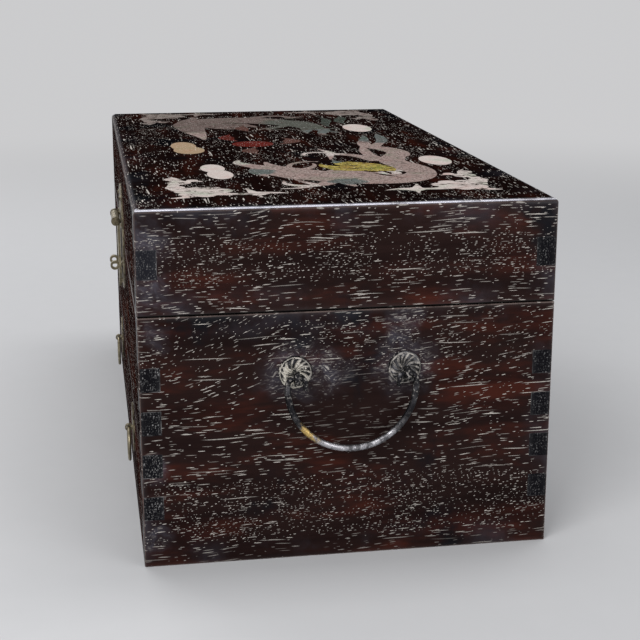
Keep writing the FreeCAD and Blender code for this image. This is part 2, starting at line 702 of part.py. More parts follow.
def build_nails():
    """All nails of the lid in one node and all of the base in another; they pierce the boards."""
    for up, name in ((ABOVE, "lid_nails"), (BELOW, "base_nails")):
        yield name, plate_nails(up) + leaf_nails(up) + [mirrored(one) for one in leaf_nails(up)]


# ================================================================ lock
def half_plate(up, posts):
    """The round face plate's half above or below the seam, holed for its eyes and nails."""
    face = Part.makeCylinder(PLATE_RADIUS, PLATE_THICKNESS, Vector(0, -HALF_DEPTH, SEAM_HEIGHT), -Y_AXIS)
    front = -HALF_DEPTH - PLATE_THICKNESS
    rim = [edge for edge in face.Edges if edge.Closed and abs(edge.CenterOfMass.y - front) < TOUCH]
    face = face.makeChamfer(PLATE_BEVEL, rim)
    near, far = SEAM_HEIGHT + up * SEAM_GAP / 2, SEAM_HEIGHT + up * 2 * PLATE_RADIUS
    keep = block(-2 * PLATE_RADIUS, 2 * PLATE_RADIUS, front, -HALF_DEPTH, near, far)
    return face.common(keep).cut(posts + plate_nails(up))


def hasp_pin():
    half = HASP_EYE_X + EYE_THICKNESS / 2
    middle = Vector(0, -HALF_DEPTH - HASP_PIVOT_REACH, HASP_PIVOT_Z)
    return headed_pin(middle, half)


def headed_pin(middle, half):
    """A pin along X with a riveted head at each end; half is half the length between the heads."""
    shaft = rod(PIN_RADIUS, middle - X_AXIS * half, X_AXIS * (2 * half))
    heads = [
        rod(PIN_HEAD_RADIUS, middle + X_AXIS * (end * half), X_AXIS * (end * PIN_HEAD_LENGTH))
        for end in (LEFT, RIGHT)
    ]
    return union([shaft] + heads)


def hasp():
    """A cloud-headed plate that hangs on the pin and drops over both staples."""
    half = HASP_WIDTH / 2
    back, front = -HASP_BACK, -HASP_BACK - HASP_THICKNESS
    pivot = Vector(0, -HALF_DEPTH - HASP_PIVOT_REACH, HASP_PIVOT_Z)
    neck = block(-half, half, front, back, STAPLE_Z, HASP_PIVOT_Z)
    barrel = rod(HASP_KNUCKLE_RADIUS, pivot - X_AXIS * half, X_AXIS * HASP_WIDTH)
    lobes = [
        rod(radius, Vector(x, back, z), Y_AXIS * -HASP_THICKNESS)
        for x, z, radius in (
            (-HASP_LOBE_X, STAPLE_Z, HASP_LOBE_RADIUS),
            (HASP_LOBE_X, STAPLE_Z, HASP_LOBE_RADIUS),
            (0, STAPLE_Z - HASP_TIP_DROP, HASP_TIP_RADIUS),
        )
    ]
    bore = rod(PIN_RADIUS + PIN_CLEARANCE, pivot - X_AXIS * HASP_WIDTH, X_AXIS * (2 * HASP_WIDTH))
    wide = EYE_THICKNESS / 2 + SLOT_SIDE_CLEARANCE
    high = EYE_RADIUS + SLOT_END_CLEARANCE
    slots = [
        block(foot.x - wide, foot.x + wide, front, back, foot.z - high, foot.z + high)
        for foot in staple_feet()
    ]
    return union([neck, barrel] + lobes).cut([bore] + slots)


def build_lock():
    eyes = [
        eye_post(foot, -Y_AXIS, WALL, HASP_PIVOT_REACH, EYE_RADIUS, EYE_THICKNESS, PIN_RADIUS)
        for foot in hasp_eye_feet()
    ]
    staples = [
        eye_post(foot, -Y_AXIS, WALL, STAPLE_REACH, EYE_RADIUS, EYE_THICKNESS, STAPLE_HOLE_RADIUS)
        for foot in staple_feet()
    ]
    yield "lock_plate_upper", [half_plate(ABOVE, eyes)]
    yield "lock_plate_lower", [half_plate(BELOW, staples)]
    yield "hasp_eyes", eyes
    yield "hasp_pin", [hasp_pin()]
    yield "hasp", [hasp()]
    yield "lock_staples", staples


# ================================================================ back hinges
def hinge_leaf(up):
    """The lid's or the base's half of the right-hand hinge: half a disc with its share of knuckles."""
    middle = Vector(HINGE_X, HALF_DEPTH, SEAM_HEIGHT)
    round_plate = rod(LEAF_RADIUS, middle, Y_AXIS * LEAF_THICKNESS)
    near, far = SEAM_HEIGHT + up * LEAF_SEAM_GAP, SEAM_HEIGHT + up * 2 * LEAF_RADIUS
    span = 2 * LEAF_RADIUS
    keep = block(HINGE_X - span, HINGE_X + span, HALF_DEPTH, HALF_DEPTH + LEAF_THICKNESS, near, far)
    leaf = round_plate.common(keep)
    outer_face = HALF_DEPTH + LEAF_THICKNESS
    reach = SEAM_HEIGHT + up * (HINGE_KNUCKLE_RADIUS + LEAF_SEAM_GAP)
    start = HINGE_X - HINGE_KNUCKLES * HINGE_KNUCKLE_LENGTH / 2
    own = 1 if up == ABOVE else 0
    for k in range(HINGE_KNUCKLES):
        left = start + k * HINGE_KNUCKLE_LENGTH
        right = left + HINGE_KNUCKLE_LENGTH
        if k % 2 == own:
            left, right = left + HINGE_KNUCKLE_GAP / 2, right - HINGE_KNUCKLE_GAP / 2
            barrel = rod(HINGE_KNUCKLE_RADIUS, Vector(left, HINGE_Y, SEAM_HEIGHT), X_AXIS * (right - left))
            web = block(left, right, HALF_DEPTH + HINGE_STAND_OFF, outer_face, SEAM_HEIGHT, reach)
            leaf = union([leaf, barrel, web])
        else:
            left, right = left - HINGE_KNUCKLE_GAP / 2, right + HINGE_KNUCKLE_GAP / 2
            leaf = leaf.cut(block(left, right, HALF_DEPTH, outer_face, SEAM_HEIGHT, reach))
    bore_radius = PIN_RADIUS + (PIN_CLEARANCE if up == ABOVE else 0.0)
    bore = rod(bore_radius, Vector(HINGE_X - span, HINGE_Y, SEAM_HEIGHT), X_AXIS * (2 * span))
    return leaf.cut([bore] + leaf_nails(up))


def hinge_pin():
    return headed_pin(Vector(HINGE_X, HINGE_Y, SEAM_HEIGHT), HINGE_KNUCKLES * HINGE_KNUCKLE_LENGTH / 2)


def build_hinges():
    pieces = {"lid_leaf": hinge_leaf(ABOVE), "base_leaf": hinge_leaf(BELOW), "pin": hinge_pin()}
    for name, shape in pieces.items():
        yield "right_hinge_" + name, [shape]
        yield "left_hinge_" + name, [mirrored(shape)]


# ================================================================ end handles
def rosette(foot, post):
    """A fluted dome under one post of the right-hand handle."""
    rise = ROSETTE_HEIGHT - ROSETTE_RIM
    crown = (ROSETTE_RADIUS**2 + rise**2) / (2 * rise)
    ball = Part.makeSphere(crown, foot + X_AXIS * (ROSETTE_HEIGHT - crown))
    body = rod(ROSETTE_RADIUS, foot, X_AXIS * (2 * ROSETTE_HEIGHT)).common(ball)
    flutes = []
    for k in range(ROSETTE_PETALS):
        turn = 2 * math.pi * k / ROSETTE_PETALS
        outward = Y_AXIS * math.cos(turn) + Z_AXIS * math.sin(turn)
        start = foot + outward * ROSETTE_FLUTE_START + X_AXIS * ROSETTE_HEIGHT
        along = outward * (ROSETTE_RADIUS - ROSETTE_FLUTE_START) + X_AXIS * -rise
        flutes.append(
            Part.makeCone(ROSETTE_FLUTE_TIP, 2 * ROSETTE_FLUTE_RADIUS, 2 * along.Length, start, along)
        )
    return body.cut(flutes + [post])


def bent_rod(radius, start, heading, centre, turn):
    """A round rod bent in the end's plane, from its start about a centre; turn is in degrees."""
    section = Part.Face(Part.Wire(Part.makeCircle(radius, start, heading)))
    return section.revolve(centre, X_AXIS, turn)


def taper(start, start_radius, end, end_radius):
    return Part.makeCone(start_radius, end_radius, (end - start).Length, start, end - start)


def bail():
    """The wire handle of the right-hand end, hanging straight down from its two eyes."""
    pivot = Vector(HALF_LENGTH + HANDLE_EYE_REACH, 0, POST_HEIGHT - HANDLE_EYE_DROP)
    inner_bend = pivot + Y_AXIS * ((POST_SPREAD - HANDLE_EYE_THICKNESS) / 2 - BAIL_HOOK_GAP)
    outer_bend = pivot + Y_AXIS * (BAIL_RADIUS - BAIL_BEND_RADIUS)
    hook_centre = inner_bend - Z_AXIS * BAIL_HOOK_RADIUS
    hook_foot = hook_centre - Y_AXIS * BAIL_HOOK_RADIUS
    arm_top = outer_bend + Y_AXIS * BAIL_BEND_RADIUS - Z_AXIS * BAIL_BEND_RADIUS
    bow_centre = pivot - Z_AXIS * BAIL_ARM_DROP
    arm_foot = bow_centre + Y_AXIS * BAIL_RADIUS
    one_half = [
        taper(hook_foot - Z_AXIS * BAIL_HOOK_TAIL, BAIL_TIP_RADIUS, hook_foot, BAIL_END_RADIUS),
        bent_rod(BAIL_END_RADIUS, inner_bend, Y_AXIS, hook_centre, 90),
        rod(BAIL_END_RADIUS, inner_bend, outer_bend - inner_bend),
        bent_rod(BAIL_END_RADIUS, outer_bend, Y_AXIS, outer_bend - Z_AXIS * BAIL_BEND_RADIUS, -90),
        taper(arm_top, BAIL_END_RADIUS, arm_foot, BAIL_WIRE_RADIUS),
        bent_rod(BAIL_WIRE_RADIUS, arm_foot, Z_AXIS, bow_centre, -90),
    ]
    return union(one_half + [piece.mirror(ORIGIN, Y_AXIS) for piece in one_half])


def build_handles():
    feet = handle_feet(RIGHT)
    posts = [
        eye_post(
            foot,
            X_AXIS,
            WALL,
            HANDLE_EYE_REACH,
            HANDLE_EYE_RADIUS,
            HANDLE_EYE_THICKNESS,
            BAIL_WIRE_RADIUS + BAIL_EYE_CLEARANCE,
            HANDLE_EYE_DROP,
        )
        for foot in feet
    ]
    pieces = {
        "handle_rosettes": [rosette(foot, post) for foot, post in zip(feet, posts)],
        "handle_posts": posts,
        "bail": [bail()],
    }
    for name, shapes in pieces.items():
        yield "right_" + name, shapes
        yield "left_" + name, [mirrored(shape) for shape in shapes]


# ================================================================ drawers
def drawer_boards():
    """The five boards of the right-hand drawer."""
    face, rear = -HALF_DEPTH, INNER_Y - DRAWER_BACK_GAP
    front_inside = face + DRAWER_FRONT_THICKNESS
    back_inside = rear - DRAWER_BACK_THICKNESS
    side_top = DRAWER_TOP - DRAWER_SIDE_DROP
    finger = (side_top - DRAWER_BOTTOM) / (2 * DRAWER_FINGERS + 1)
    spans = finger_spans(DRAWER_BOTTOM, side_top, DRAWER_FINGERS, finger, finger)
    panel_bottom = DRAWER_BOTTOM + DRAWER_PANEL_LIFT
    edge = DRAWER_SIDE_THICKNESS - DRAWER_PANEL_TONGUE
    panel = block(
        DRAWER_LEFT + edge,
        DRAWER_RIGHT - edge,
        front_inside - DRAWER_PANEL_TONGUE,
        back_inside + DRAWER_PANEL_TONGUE,
        panel_bottom,
        panel_bottom + DRAWER_PANEL_THICKNESS,
    )
    front = block(DRAWER_LEFT, DRAWER_RIGHT, face, front_inside, DRAWER_BOTTOM, DRAWER_TOP)
    front = front.makeChamfer(DRAWER_EDGE, [e for e in front.Edges if abs(e.CenterOfMass.y - face) < TOUCH])
    back = block(DRAWER_LEFT, DRAWER_RIGHT, back_inside, rear, DRAWER_BOTTOM, side_top)
    sides = []
    for outer, inner in (
        (DRAWER_LEFT, DRAWER_LEFT + DRAWER_SIDE_THICKNESS),
        (DRAWER_RIGHT, DRAWER_RIGHT - DRAWER_SIDE_THICKNESS),
    ):
        board = block(outer, inner, front_inside, back_inside, DRAWER_BOTTOM, side_top)
        tongues = [block(outer, inner, face + DRAWER_LAP, front_inside, low, high) for low, high in spans]
        tongues += [block(outer, inner, back_inside, rear, low, high) for low, high in spans]
        sides.append(union([board] + tongues))
    return {
        "front": front.cut(sides + [panel]),
        "left_side": sides[0].cut(panel),
        "right_side": sides[1].cut(panel),
        "back": back.cut(sides + [panel]),
        "bottom": panel,
    }


def pull_plate(post):
    """The lobed plate behind the ring pull of the right-hand drawer."""
    lobes = []
    for k in range(PULL_LOBES):
        turn = 2 * math.pi * k / PULL_LOBES
        outward = X_AXIS * math.cos(turn) + Z_AXIS * math.sin(turn)
        middle = Vector(DRAWER_X, -HALF_DEPTH, PULL_HEIGHT) + outward * PULL_LOBE_REACH
        lobes.append(rod(PULL_LOBE_RADIUS, middle, Y_AXIS * -PULL_PLATE_THICKNESS))
    return union(lobes).cut(post)


def pull_ring():
    middle = Vector(DRAWER_X, -HALF_DEPTH - PULL_EYE_REACH, PULL_HEIGHT - PULL_RING_RADIUS)
    return Part.makeTorus(PULL_RING_RADIUS, PULL_WIRE_RADIUS, middle, Y_AXIS)


def build_drawers():
    boards = drawer_boards()
    post = eye_post(
        Vector(DRAWER_X, -HALF_DEPTH, PULL_HEIGHT),
        -Y_AXIS,
        DRAWER_FRONT_THICKNESS,
        PULL_EYE_REACH,
        PULL_EYE_RADIUS,
        PULL_EYE_THICKNESS,
        PULL_EYE_HOLE_RADIUS,
    )
    boards["front"] = boards["front"].cut(post)
    pieces = dict(boards, pull_plate=pull_plate(post), pull_post=post, pull_ring=pull_ring())
    opposite = {"left_side": "right_side", "right_side": "left_side"}
    for name, shape in pieces.items():
        yield "right_drawer_" + name, [shape]
        yield "left_drawer_" + opposite.get(name, name), [mirrored(shape)]


# ================================================================ everything
def main():
    os.makedirs("parts", exist_ok=True)
    inlays = build_inlays()
    nodes = dict(build_base())
    nodes.update(build_lid(inlays))
    nodes.update(build_nails())
    for board, nails in (
        ("lid_front", "lid_nails"),
        ("lid_back", "lid_nails"),
        ("base_front", "base_nails"),
        ("base_back", "base_nails"),
    ):
        nodes[board] = [nodes[board][0].cut(nodes[nails])]
    nodes.update(inlays)
    for group in (build_lock(), build_hinges(), build_handles(), build_drawers()):
        nodes.update(group)
    for name, shapes in nodes.items():
        save(name, shapes)


main()
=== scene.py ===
import math
from functools import partialmethod

import bmesh
import bpy
from bpy.props import FloatProperty, FloatVectorProperty, PointerProperty
from mathutils import Matrix, Vector


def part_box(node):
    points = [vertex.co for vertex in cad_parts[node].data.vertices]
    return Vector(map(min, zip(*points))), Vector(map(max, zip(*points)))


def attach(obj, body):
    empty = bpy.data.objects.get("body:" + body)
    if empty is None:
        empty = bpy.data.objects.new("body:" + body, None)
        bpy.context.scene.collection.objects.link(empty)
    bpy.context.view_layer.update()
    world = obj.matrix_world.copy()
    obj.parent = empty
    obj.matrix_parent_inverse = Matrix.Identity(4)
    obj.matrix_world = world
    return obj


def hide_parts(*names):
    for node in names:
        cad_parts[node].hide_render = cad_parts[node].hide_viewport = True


bl_info = {
    "name": "Mahjong Case Finish",
    "version": (1, 0, 0),
    "blender": (4, 5, 0),
    "location": "View3D > Sidebar > Mahjong Case",
    "description": "Open-pored hardwood, shell inlay and worn metal for a mahjong case with drawers",
    "category": "Object",
}

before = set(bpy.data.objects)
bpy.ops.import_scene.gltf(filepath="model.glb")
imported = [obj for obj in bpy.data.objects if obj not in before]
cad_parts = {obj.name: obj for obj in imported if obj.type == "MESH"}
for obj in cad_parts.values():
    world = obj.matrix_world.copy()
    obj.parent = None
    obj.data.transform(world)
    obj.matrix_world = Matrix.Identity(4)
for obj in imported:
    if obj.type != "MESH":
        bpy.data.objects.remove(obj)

MM = 0.001
X_AXIS = Vector((1, 0, 0))
ENDS = {"right": 1, "left": -1}

# The case's own sizes, read from the frame.
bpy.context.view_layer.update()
LID_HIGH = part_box("lid_top")[1]
END_LOW, END_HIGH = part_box("base_right_end")
WALL = END_HIGH[0] - END_LOW[0]

# How far in from a board's edges bloom with painted sheen, polish, the lid's painted highlight and wear with
# painted highlight reach.
BLOOM_AND_SHEEN_REACH = 17 * MM
POLISH_REACH = 3.0 * MM
BRIGHT_REACH = 2.0 * MM
WEAR_AND_HIGHLIGHT_REACH = 0.9 * MM

# Chalk stays in the pores to this depth under the closed case's faces, and is rubbed off near the floor.
CHALK_DEPTH = 5 * MM
FLOOR_RUB = (3 * MM, 12 * MM)


# -------- values a user may change
def colour(name, description, default):
    return FloatVectorProperty(
        name=name, description=description, subtype="COLOR", size=3, min=0.0, max=1.0, default=default
    )


def length(name, description, default):
    settings = {"name": name, "description": description, "default": default}
    return FloatProperty(unit="LENGTH", subtype="DISTANCE", **settings)


class CaseWoodSettings(bpy.types.PropertyGroup):
    heartwood: colour("Heartwood", "Main colour of the boards", (0.0175, 0.0082, 0.0072))
    red_streak: colour("Red streak", "Colour where the heartwood runs red", (0.052, 0.0128, 0.0080))
    dark_cloud: colour("Dark cloud", "The dark bluish areas", (0.0062, 0.0060, 0.0078))
    # Painted sheen: this bluish haze is partly wax bloom and partly a painted reflection.
    bloom_and_sheen: colour("Haze", "Wax bloom with a painted bluish sheen near edges and fittings", (0.094, 0.097, 0.126))
    chalk: colour("Chalk", "The filling in the open pores", (0.56, 0.52, 0.475))
    fresh_chalk: colour("Fresh chalk", "The chalk that lies thick on the rosettes", (0.68, 0.64, 0.56))
    # Partly painted highlight: the pale edges are wear and also stand in for the edges' highlights.
    worn_edge_and_highlight: colour("Worn edge and highlight", "The boards' rubbed edges, with a painted highlight", (0.150, 0.112, 0.100))
    # Painted highlight: the lid's upper edge is painted bluish white.
    painted_highlight_edge: colour("Painted highlight edge", "Painted highlight on the lid's rubbed upper edge", (0.70, 0.69, 0.79))
    # Painted shade: the seam between lid and base, painted near black.
    seam_shade: colour("Seam shade", "Painted shade in the seam at the foot of the lid's boards", (0.0025, 0.002, 0.002))
    end_grain: colour("End grain", "The fingers' cut ends", (0.0080, 0.0078, 0.0095))
    end_pore: colour("End pore", "The pores in the fingers' cut ends", (0.27, 0.265, 0.265))
    inner_wood: colour("Inner wood", "The wood inside the case", (0.085, 0.040, 0.022))
    long_pore: length("Long pore", "Length of the cells of the long pores", 38 * MM)
    short_pore: length("Short pore", "Length of the cells of the short pores", 11 * MM)
    dash_pore: length("Dash pore", "Length of the cells of the pores cut aslant", 4.6 * MM)
    dot_pore: length("Dot pore", "Length of the cells of the pores cut nearly across", 2.0 * MM)
    pore_width: length("Pore width", "Width of a pore", 0.36 * MM)


class CaseMetalSettings(bpy.types.PropertyGroup):
    brass: colour("Brass", "Brass under its patina", (0.215, 0.180, 0.120))
    brass_patina: colour("Brass patina", "Brass in its hollows", (0.040, 0.031, 0.021))
    rubbed_brass: colour("Rubbed brass", "Brass where it is handled", (0.60, 0.54, 0.38))
    grey_patina: colour("Grey patina", "The handles' dark skin", (0.020, 0.0195, 0.022))
    bare_metal: colour("Bare metal", "The handles where they are rubbed", (0.54, 0.53, 0.56))
    worn_spot: colour("Worn spot", "The yellow spot on the right-hand bail", (0.60, 0.42, 0.15))


class CaseShellSettings(bpy.types.PropertyGroup):
    white: colour("White shell", "Clouds and discs", (0.50, 0.435, 0.405))
    tan: colour("Tan shell", "The disc that has yellowed", (0.33, 0.235, 0.150))
    # Painted shade: the white shell darkened, for the clouds at the lid's far end.
    painted_shade_white: colour("White shell in painted shade", "The clouds at the left-hand end", (0.205, 0.170, 0.155))
    pink: colour("Pink shell", "The right-hand dragon", (0.300, 0.225, 0.205))
    # Painted shade: the pink at half its brightness, for the dragon at the lid's far end.
    painted_shade_pink: colour("Pink shell in painted shade", "The left-hand dragon", (0.150, 0.1125, 0.1025))
    grey: colour("Grey shell", "The far part of the left-hand dragon", (0.088, 0.093, 0.080))
    slate: colour("Slate shell", "Bluish and greenish slips let into the dragons", (0.115, 0.130, 0.125))
    yellow: colour("Yellow shell", "Mane of the right-hand dragon", (0.36, 0.285, 0.070))
    rose: colour("Rose shell", "Flames", (0.098, 0.046, 0.038))
    red: colour("Red shell", "Pearl, and the flame beside it", (0.095, 0.0125, 0.0095))
    foam: colour("Foam shell", "Bands of sea spray", (0.040, 0.050, 0.042))
    engraving: colour("Engraving", "Dark filling of the engraved lines", (0.030, 0.021, 0.016))


class CaseStageSettings(bpy.types.PropertyGroup):
    camera_place: FloatVectorProperty(
        name="Camera place",
        description="Where the camera stands",
        subtype="TRANSLATION",
        default=(0.8205, -0.1200, 0.2875),
    )
    camera_heading: FloatVectorProperty(
        name="Camera heading",
        description="Which way the camera looks",
        subtype="DIRECTION",
        default=(-0.9533, 0.1606, -0.2561),
    )
    lens: FloatProperty(name="Lens", description="Focal length for a 36 mm sensor", default=78.7)
    floor: colour("Floor", "The floor and the backdrop", (0.60, 0.60, 0.61))
    sky: colour("Sky", "The light from all round", (0.95, 0.97, 1.0))
    sky_strength: FloatProperty(
        name="Sky strength", description="Strength of the light from all round", default=0.40
    )


SETTINGS = {
    "case_wood": CaseWoodSettings,
    "case_metal": CaseMetalSettings,
    "case_shell": CaseShellSettings,
    "case_stage": CaseStageSettings,
}


# -------- node trees in few words
class Graph:
    """Adds nodes to a tree; a value may be a socket, a number, a vector or a colour."""

    def __init__(self, tree):
        self.tree = tree

    def put(self, socket, value):
        if isinstance(value, bpy.types.NodeSocket):
            self.tree.links.new(value, socket)
        elif socket.type == "RGBA":
            socket.default_value = (*value, 1.0)
        else:
            socket.default_value = value

    def add(self, kind, inputs=(), **settings):
        node = self.tree.nodes.new(kind)
        for name, value in settings.items():
            setattr(node, name, value)
        for key, value in dict(inputs).items():
            self.put(node.inputs[key], value)
        return node

    def group(self, name, inputs):
        """The outputs of one of the shared groups, which is made on first use."""
        tree = bpy.data.node_groups.get(name) or GROUP_MAKERS[name](name)
        return self.add("ShaderNodeGroup", inputs, node_tree=tree).outputs

    def math(self, operation, *values, clamp=False):
        inputs = dict(enumerate(values))
        return self.add("ShaderNodeMath", inputs, operation=operation, use_clamp=clamp).outputs[0]

    plus = partialmethod(math, "ADD")
    minus = partialmethod(math, "SUBTRACT")
    times = partialmethod(math, "MULTIPLY")
    over = partialmethod(math, "DIVIDE")
    larger = partialmethod(math, "MAXIMUM")
    smaller = partialmethod(math, "MINIMUM")
    absolute = partialmethod(math, "ABSOLUTE")

    def vector(self, operation, *values):
        node = self.add("ShaderNodeVectorMath", dict(enumerate(values)), operation=operation)
        return node.outputs["Value" if operation in ("LENGTH", "DISTANCE") else "Vector"]

    def split(self, vector):
        return self.add("ShaderNodeSeparateXYZ", {0: vector}).outputs

    def join(self, x, y, z):
        return self.add("ShaderNodeCombineXYZ", {0: x, 1: y, 2: z}).outputs[0]

    def step(self, value, low, high, to_low=0.0, to_high=1.0):
        """value eased from low..high to to_low..to_high and kept within them."""
        inputs = {"Value": value, "From Min": low, "From Max": high, "To Min": to_low, "To Max": to_high}
        return self.add("ShaderNodeMapRange", inputs, interpolation_type="SMOOTHSTEP").outputs["Result"]

    def mix(self, share, first, second, blend="MIX"):
        """Two colours mixed; the node's inputs 6 and 7 and its output 2 are the ones for colours."""
        inputs = {0: share, 6: first, 7: second}
        return self.add("ShaderNodeMix", inputs, data_type="RGBA", blend_type=blend).outputs[2]

    def tinted(self, first, second):
        """One colour multiplied by another."""
        return self.mix(1.0, first, second, "MULTIPLY")

    def noise(self, vector, scale, detail=3.0, roughness=0.55, output="Fac"):
        inputs = {"Vector": vector, "Scale": scale, "Detail": detail, "Roughness": roughness}
        return self.add("ShaderNodeTexNoise", inputs).outputs[output]

    def drawn_out(self, vector, stretch, scale, detail, roughness=0.55):
        """Noise of the vector multiplied by stretch: the smaller a share, the longer the noise that way."""
        return self.noise(self.vector("MULTIPLY", vector, stretch), scale, detail, roughness)

    def chance(self, vector):
        """The same random numbers for the same place."""
        return self.add("ShaderNodeTexWhiteNoise", {"Vector": vector}, noise_dimensions="3D").outputs

    def edges(self, position, low, high, width):
        """1 on the edges of the box between low and high, and 0 from width on."""
        inputs = {"Position": position, "Low": low, "High": high, "Width": width}
        return self.group("Box Edges", inputs)["Mask"]

    def near(self, position, centre, reach, full):
        """1 within full of the centre, eased to 0 at reach."""
        return self.step(self.vector("DISTANCE", position, centre), reach, full)


def new_group(name, inputs, outputs):
    """An empty shader group with named sockets, as (tree, graph, its inputs, its output node)."""
    tree = bpy.data.node_groups.new(name, "ShaderNodeTree")
    for in_out, sockets in (("INPUT", inputs), ("OUTPUT", outputs)):
        for socket, kind in sockets.items():
            tree.interface.new_socket(socket, in_out=in_out, socket_type="NodeSocket" + kind)
    source = tree.nodes.new("NodeGroupInput").outputs
    return tree, Graph(tree), source, tree.nodes.new("NodeGroupOutput")


def make_pores(name):
    """Open pores as dashes along X: rows of cells across it, each with one pore of its own place and size.

    Length and Pitch are a cell's sizes, Amount is the share that is filled, and Slant is a pore's slope.
    """
    sockets = ("Length", "Pitch", "Width", "Amount", "Slant")
    inputs = {"Position": "Vector", **dict.fromkeys(sockets, "Float")}
    tree, g, source, out = new_group(name, inputs, {"Mask": "Float"})
    place = g.split(source["Position"])
    across = g.over(g.plus(place["Y"], place["Z"]), source["Pitch"])
    row = g.math("FLOOR", across)
    # Each row has its own start, which the cells' length changes too, so that layers don't line up.
    start = g.chance(g.join(row, g.times(source["Length"], 977.0), 0.5))["Value"]
    along = g.plus(g.over(place["X"], source["Length"]), g.times(start, 17.0))
    cell = g.math("FLOOR", along)
    first = g.split(g.chance(g.join(cell, row, 0.5))["Color"])
    second = g.split(g.chance(g.join(cell, row, 7.5))["Color"])
    # A pore's middle lies off its cell's middle both ways. Most pores are short, and a few are long.
    from_middle = g.minus(g.math("FRACT", along), g.step(first["X"], 0.0, 1.0, 0.32, 0.68))
    half_length = g.plus(0.07, g.times(0.24, g.math("POWER", first["Y"], 1.4)))
    slope = g.times(source["Slant"], g.over(source["Length"], source["Pitch"]))
    from_line = g.minus(g.math("FRACT", across), g.step(first["Z"], 0.0, 1.0, 0.28, 0.72))
    from_line = g.minus(from_line, g.times(from_middle, slope))
    width = g.over(source["Width"], source["Pitch"])
    half_width = g.times(width, g.step(second["X"], 0.0, 1.0, 0.34, 0.66))
    # A pore is a long soft ellipse, and some are paler than others.
    ends = g.over(from_middle, half_length)
    away = g.vector("LENGTH", g.join(ends, g.over(from_line, half_width), 0.0))
    filled = g.math("LESS_THAN", second["Y"], source["Amount"])
    pale = g.times(filled, g.step(second["Z"], 0.0, 1.2, 0.30, 1.05))
    g.put(out.inputs["Mask"], g.times(g.step(away, 1.12, 0.72), pale))
    return tree


def make_edges(name):
    """How near a point of a box's surface is to one of its edges: 1 on the edge, 0 from Width on.

    Of its distances to the three nearest faces, the second is the distance to an edge.
    """
    inputs = {"Position": "Vector", "Low": "Vector", "High": "Vector", "Width": "Float"}
    tree, g, source, out = new_group(name, inputs, {"Mask": "Float"})
    from_low = g.vector("SUBTRACT", source["Position"], source["Low"])
    from_high = g.vector("SUBTRACT", source["High"], source["Position"])
    away = g.split(g.vector("ABSOLUTE", g.vector("MINIMUM", from_low, from_high)))
    least = g.smaller(g.smaller(away["X"], away["Y"]), away["Z"])
    most = g.larger(g.larger(away["X"], away["Y"]), away["Z"])
    total = g.plus(g.plus(away["X"], away["Y"]), away["Z"])
    second = g.minus(g.minus(total, least), most)
    g.put(out.inputs["Mask"], g.step(second, source["Width"], 0.0))
    return tree


def make_dust(name):
    """Bloom about a point: Haze is smooth and thin, wax bloom with a painted sheen, and Chalk is thick and in
    fine scratches close to it.
    """
    inputs = {"Position": "Vector", "Centre": "Vector", "Reach": "Float"}
    tree, g, source, out = new_group(name, inputs, {"Haze": "Float", "Chalk": "Float"})
    bent = ragged(g, source["Position"], 55.0, 3 * (18 * MM,))
    away = g.over(g.vector("DISTANCE", bent, source["Centre"]), source["Reach"])
    soft = g.drawn_out(bent, (1.0, 0.7, 1.3), 150.0, 4.0, 0.6)
    g.put(out.inputs["Haze"], g.times(g.step(away, 1.0, 0.10), g.step(soft, 0.34, 0.64, 0.25, 1.0)))
    scratches = g.drawn_out(bent, (1.0, 0.45, 1.9), 620.0, 4.0, 0.7)
    close = g.times(g.step(away, 0.80, 0.22), g.step(soft, 0.40, 0.60, 0.35, 1.0))
    g.put(out.inputs["Chalk"], g.times(close, g.step(scratches, 0.53, 0.66)))
    return tree


def make_lustre(name):
    """Shell colour that drifts between pink, green and cream, as nacre does, with fine growth lines."""
    inputs = {"Position": "Vector", "Colour": "Color"}
    tree, g, source, out = new_group(name, inputs, {"Colour": "Color", "Height": "Float"})
    drift = g.noise(source["Position"], 70.0, 2.0)
    tint = source["Colour"]
    for start, full, sheen in ((0.52, 0.75, (0.55, 0.80, 0.62)), (0.46, 0.25, (1.0, 0.78, 0.76))):
        tint = g.mix(g.step(drift, start, full), tint, g.mix(0.55, tint, sheen, "MULTIPLY"))
    lines = g.drawn_out(source["Position"], (300.0, 1400.0, 300.0), 1.0, 2.0)
    g.put(out.inputs["Colour"], g.mix(g.step(lines, 0.55, 0.8, 0.0, 0.35), tint, (1.0, 0.97, 0.92)))
    g.put(out.inputs["Height"], lines)
    return tree


def make_patina(name):
    """Old metal: Skin is where the patina stays, Pit where it is eaten in, and Rub where hands touch it."""
    masks = dict.fromkeys(("Skin", "Pit", "Rub"), "Float")
    tree, g, source, out = new_group(name, {"Position": "Vector"}, masks)
    blotch = g.noise(source["Position"], 260.0, 5.0, 0.65)
    grains = g.noise(source["Position"], 1500.0, 3.0)
    g.put(out.inputs["Skin"], g.step(blotch, 0.40, 0.60))
    g.put(out.inputs["Pit"], g.step(grains, 0.52, 0.70))
    g.put(out.inputs["Rub"], g.step(g.noise(source["Position"], 120.0, 3.0), 0.52, 0.68))
    return tree


GROUP_MAKERS = {
    "Pores": make_pores,
    "Box Edges": make_edges,
    "Dust Ring": make_dust,
    "Shell Lustre": make_lustre,
    "Patina": make_patina,
}


# -------- what the materials share
def new_material(name, **constants):
    """A material with one Principled BSDF, as (material, graph, shader, object position)."""
    material = bpy.data.materials.new(name)
    material.use_nodes = True
    graph = Graph(material.node_tree)
    shader = material.node_tree.nodes["Principled BSDF"]
    for socket, value in constants.items():
        graph.put(shader.inputs[socket.replace("_", " ")], value)
    return material, graph, shader, graph.add("ShaderNodeTexCoord").outputs["Object"]


def bump(graph, shader, height, distance):
    node = graph.add("ShaderNodeBump", {"Height": height, "Distance": distance})
    graph.put(shader.inputs["Normal"], node.outputs[0])


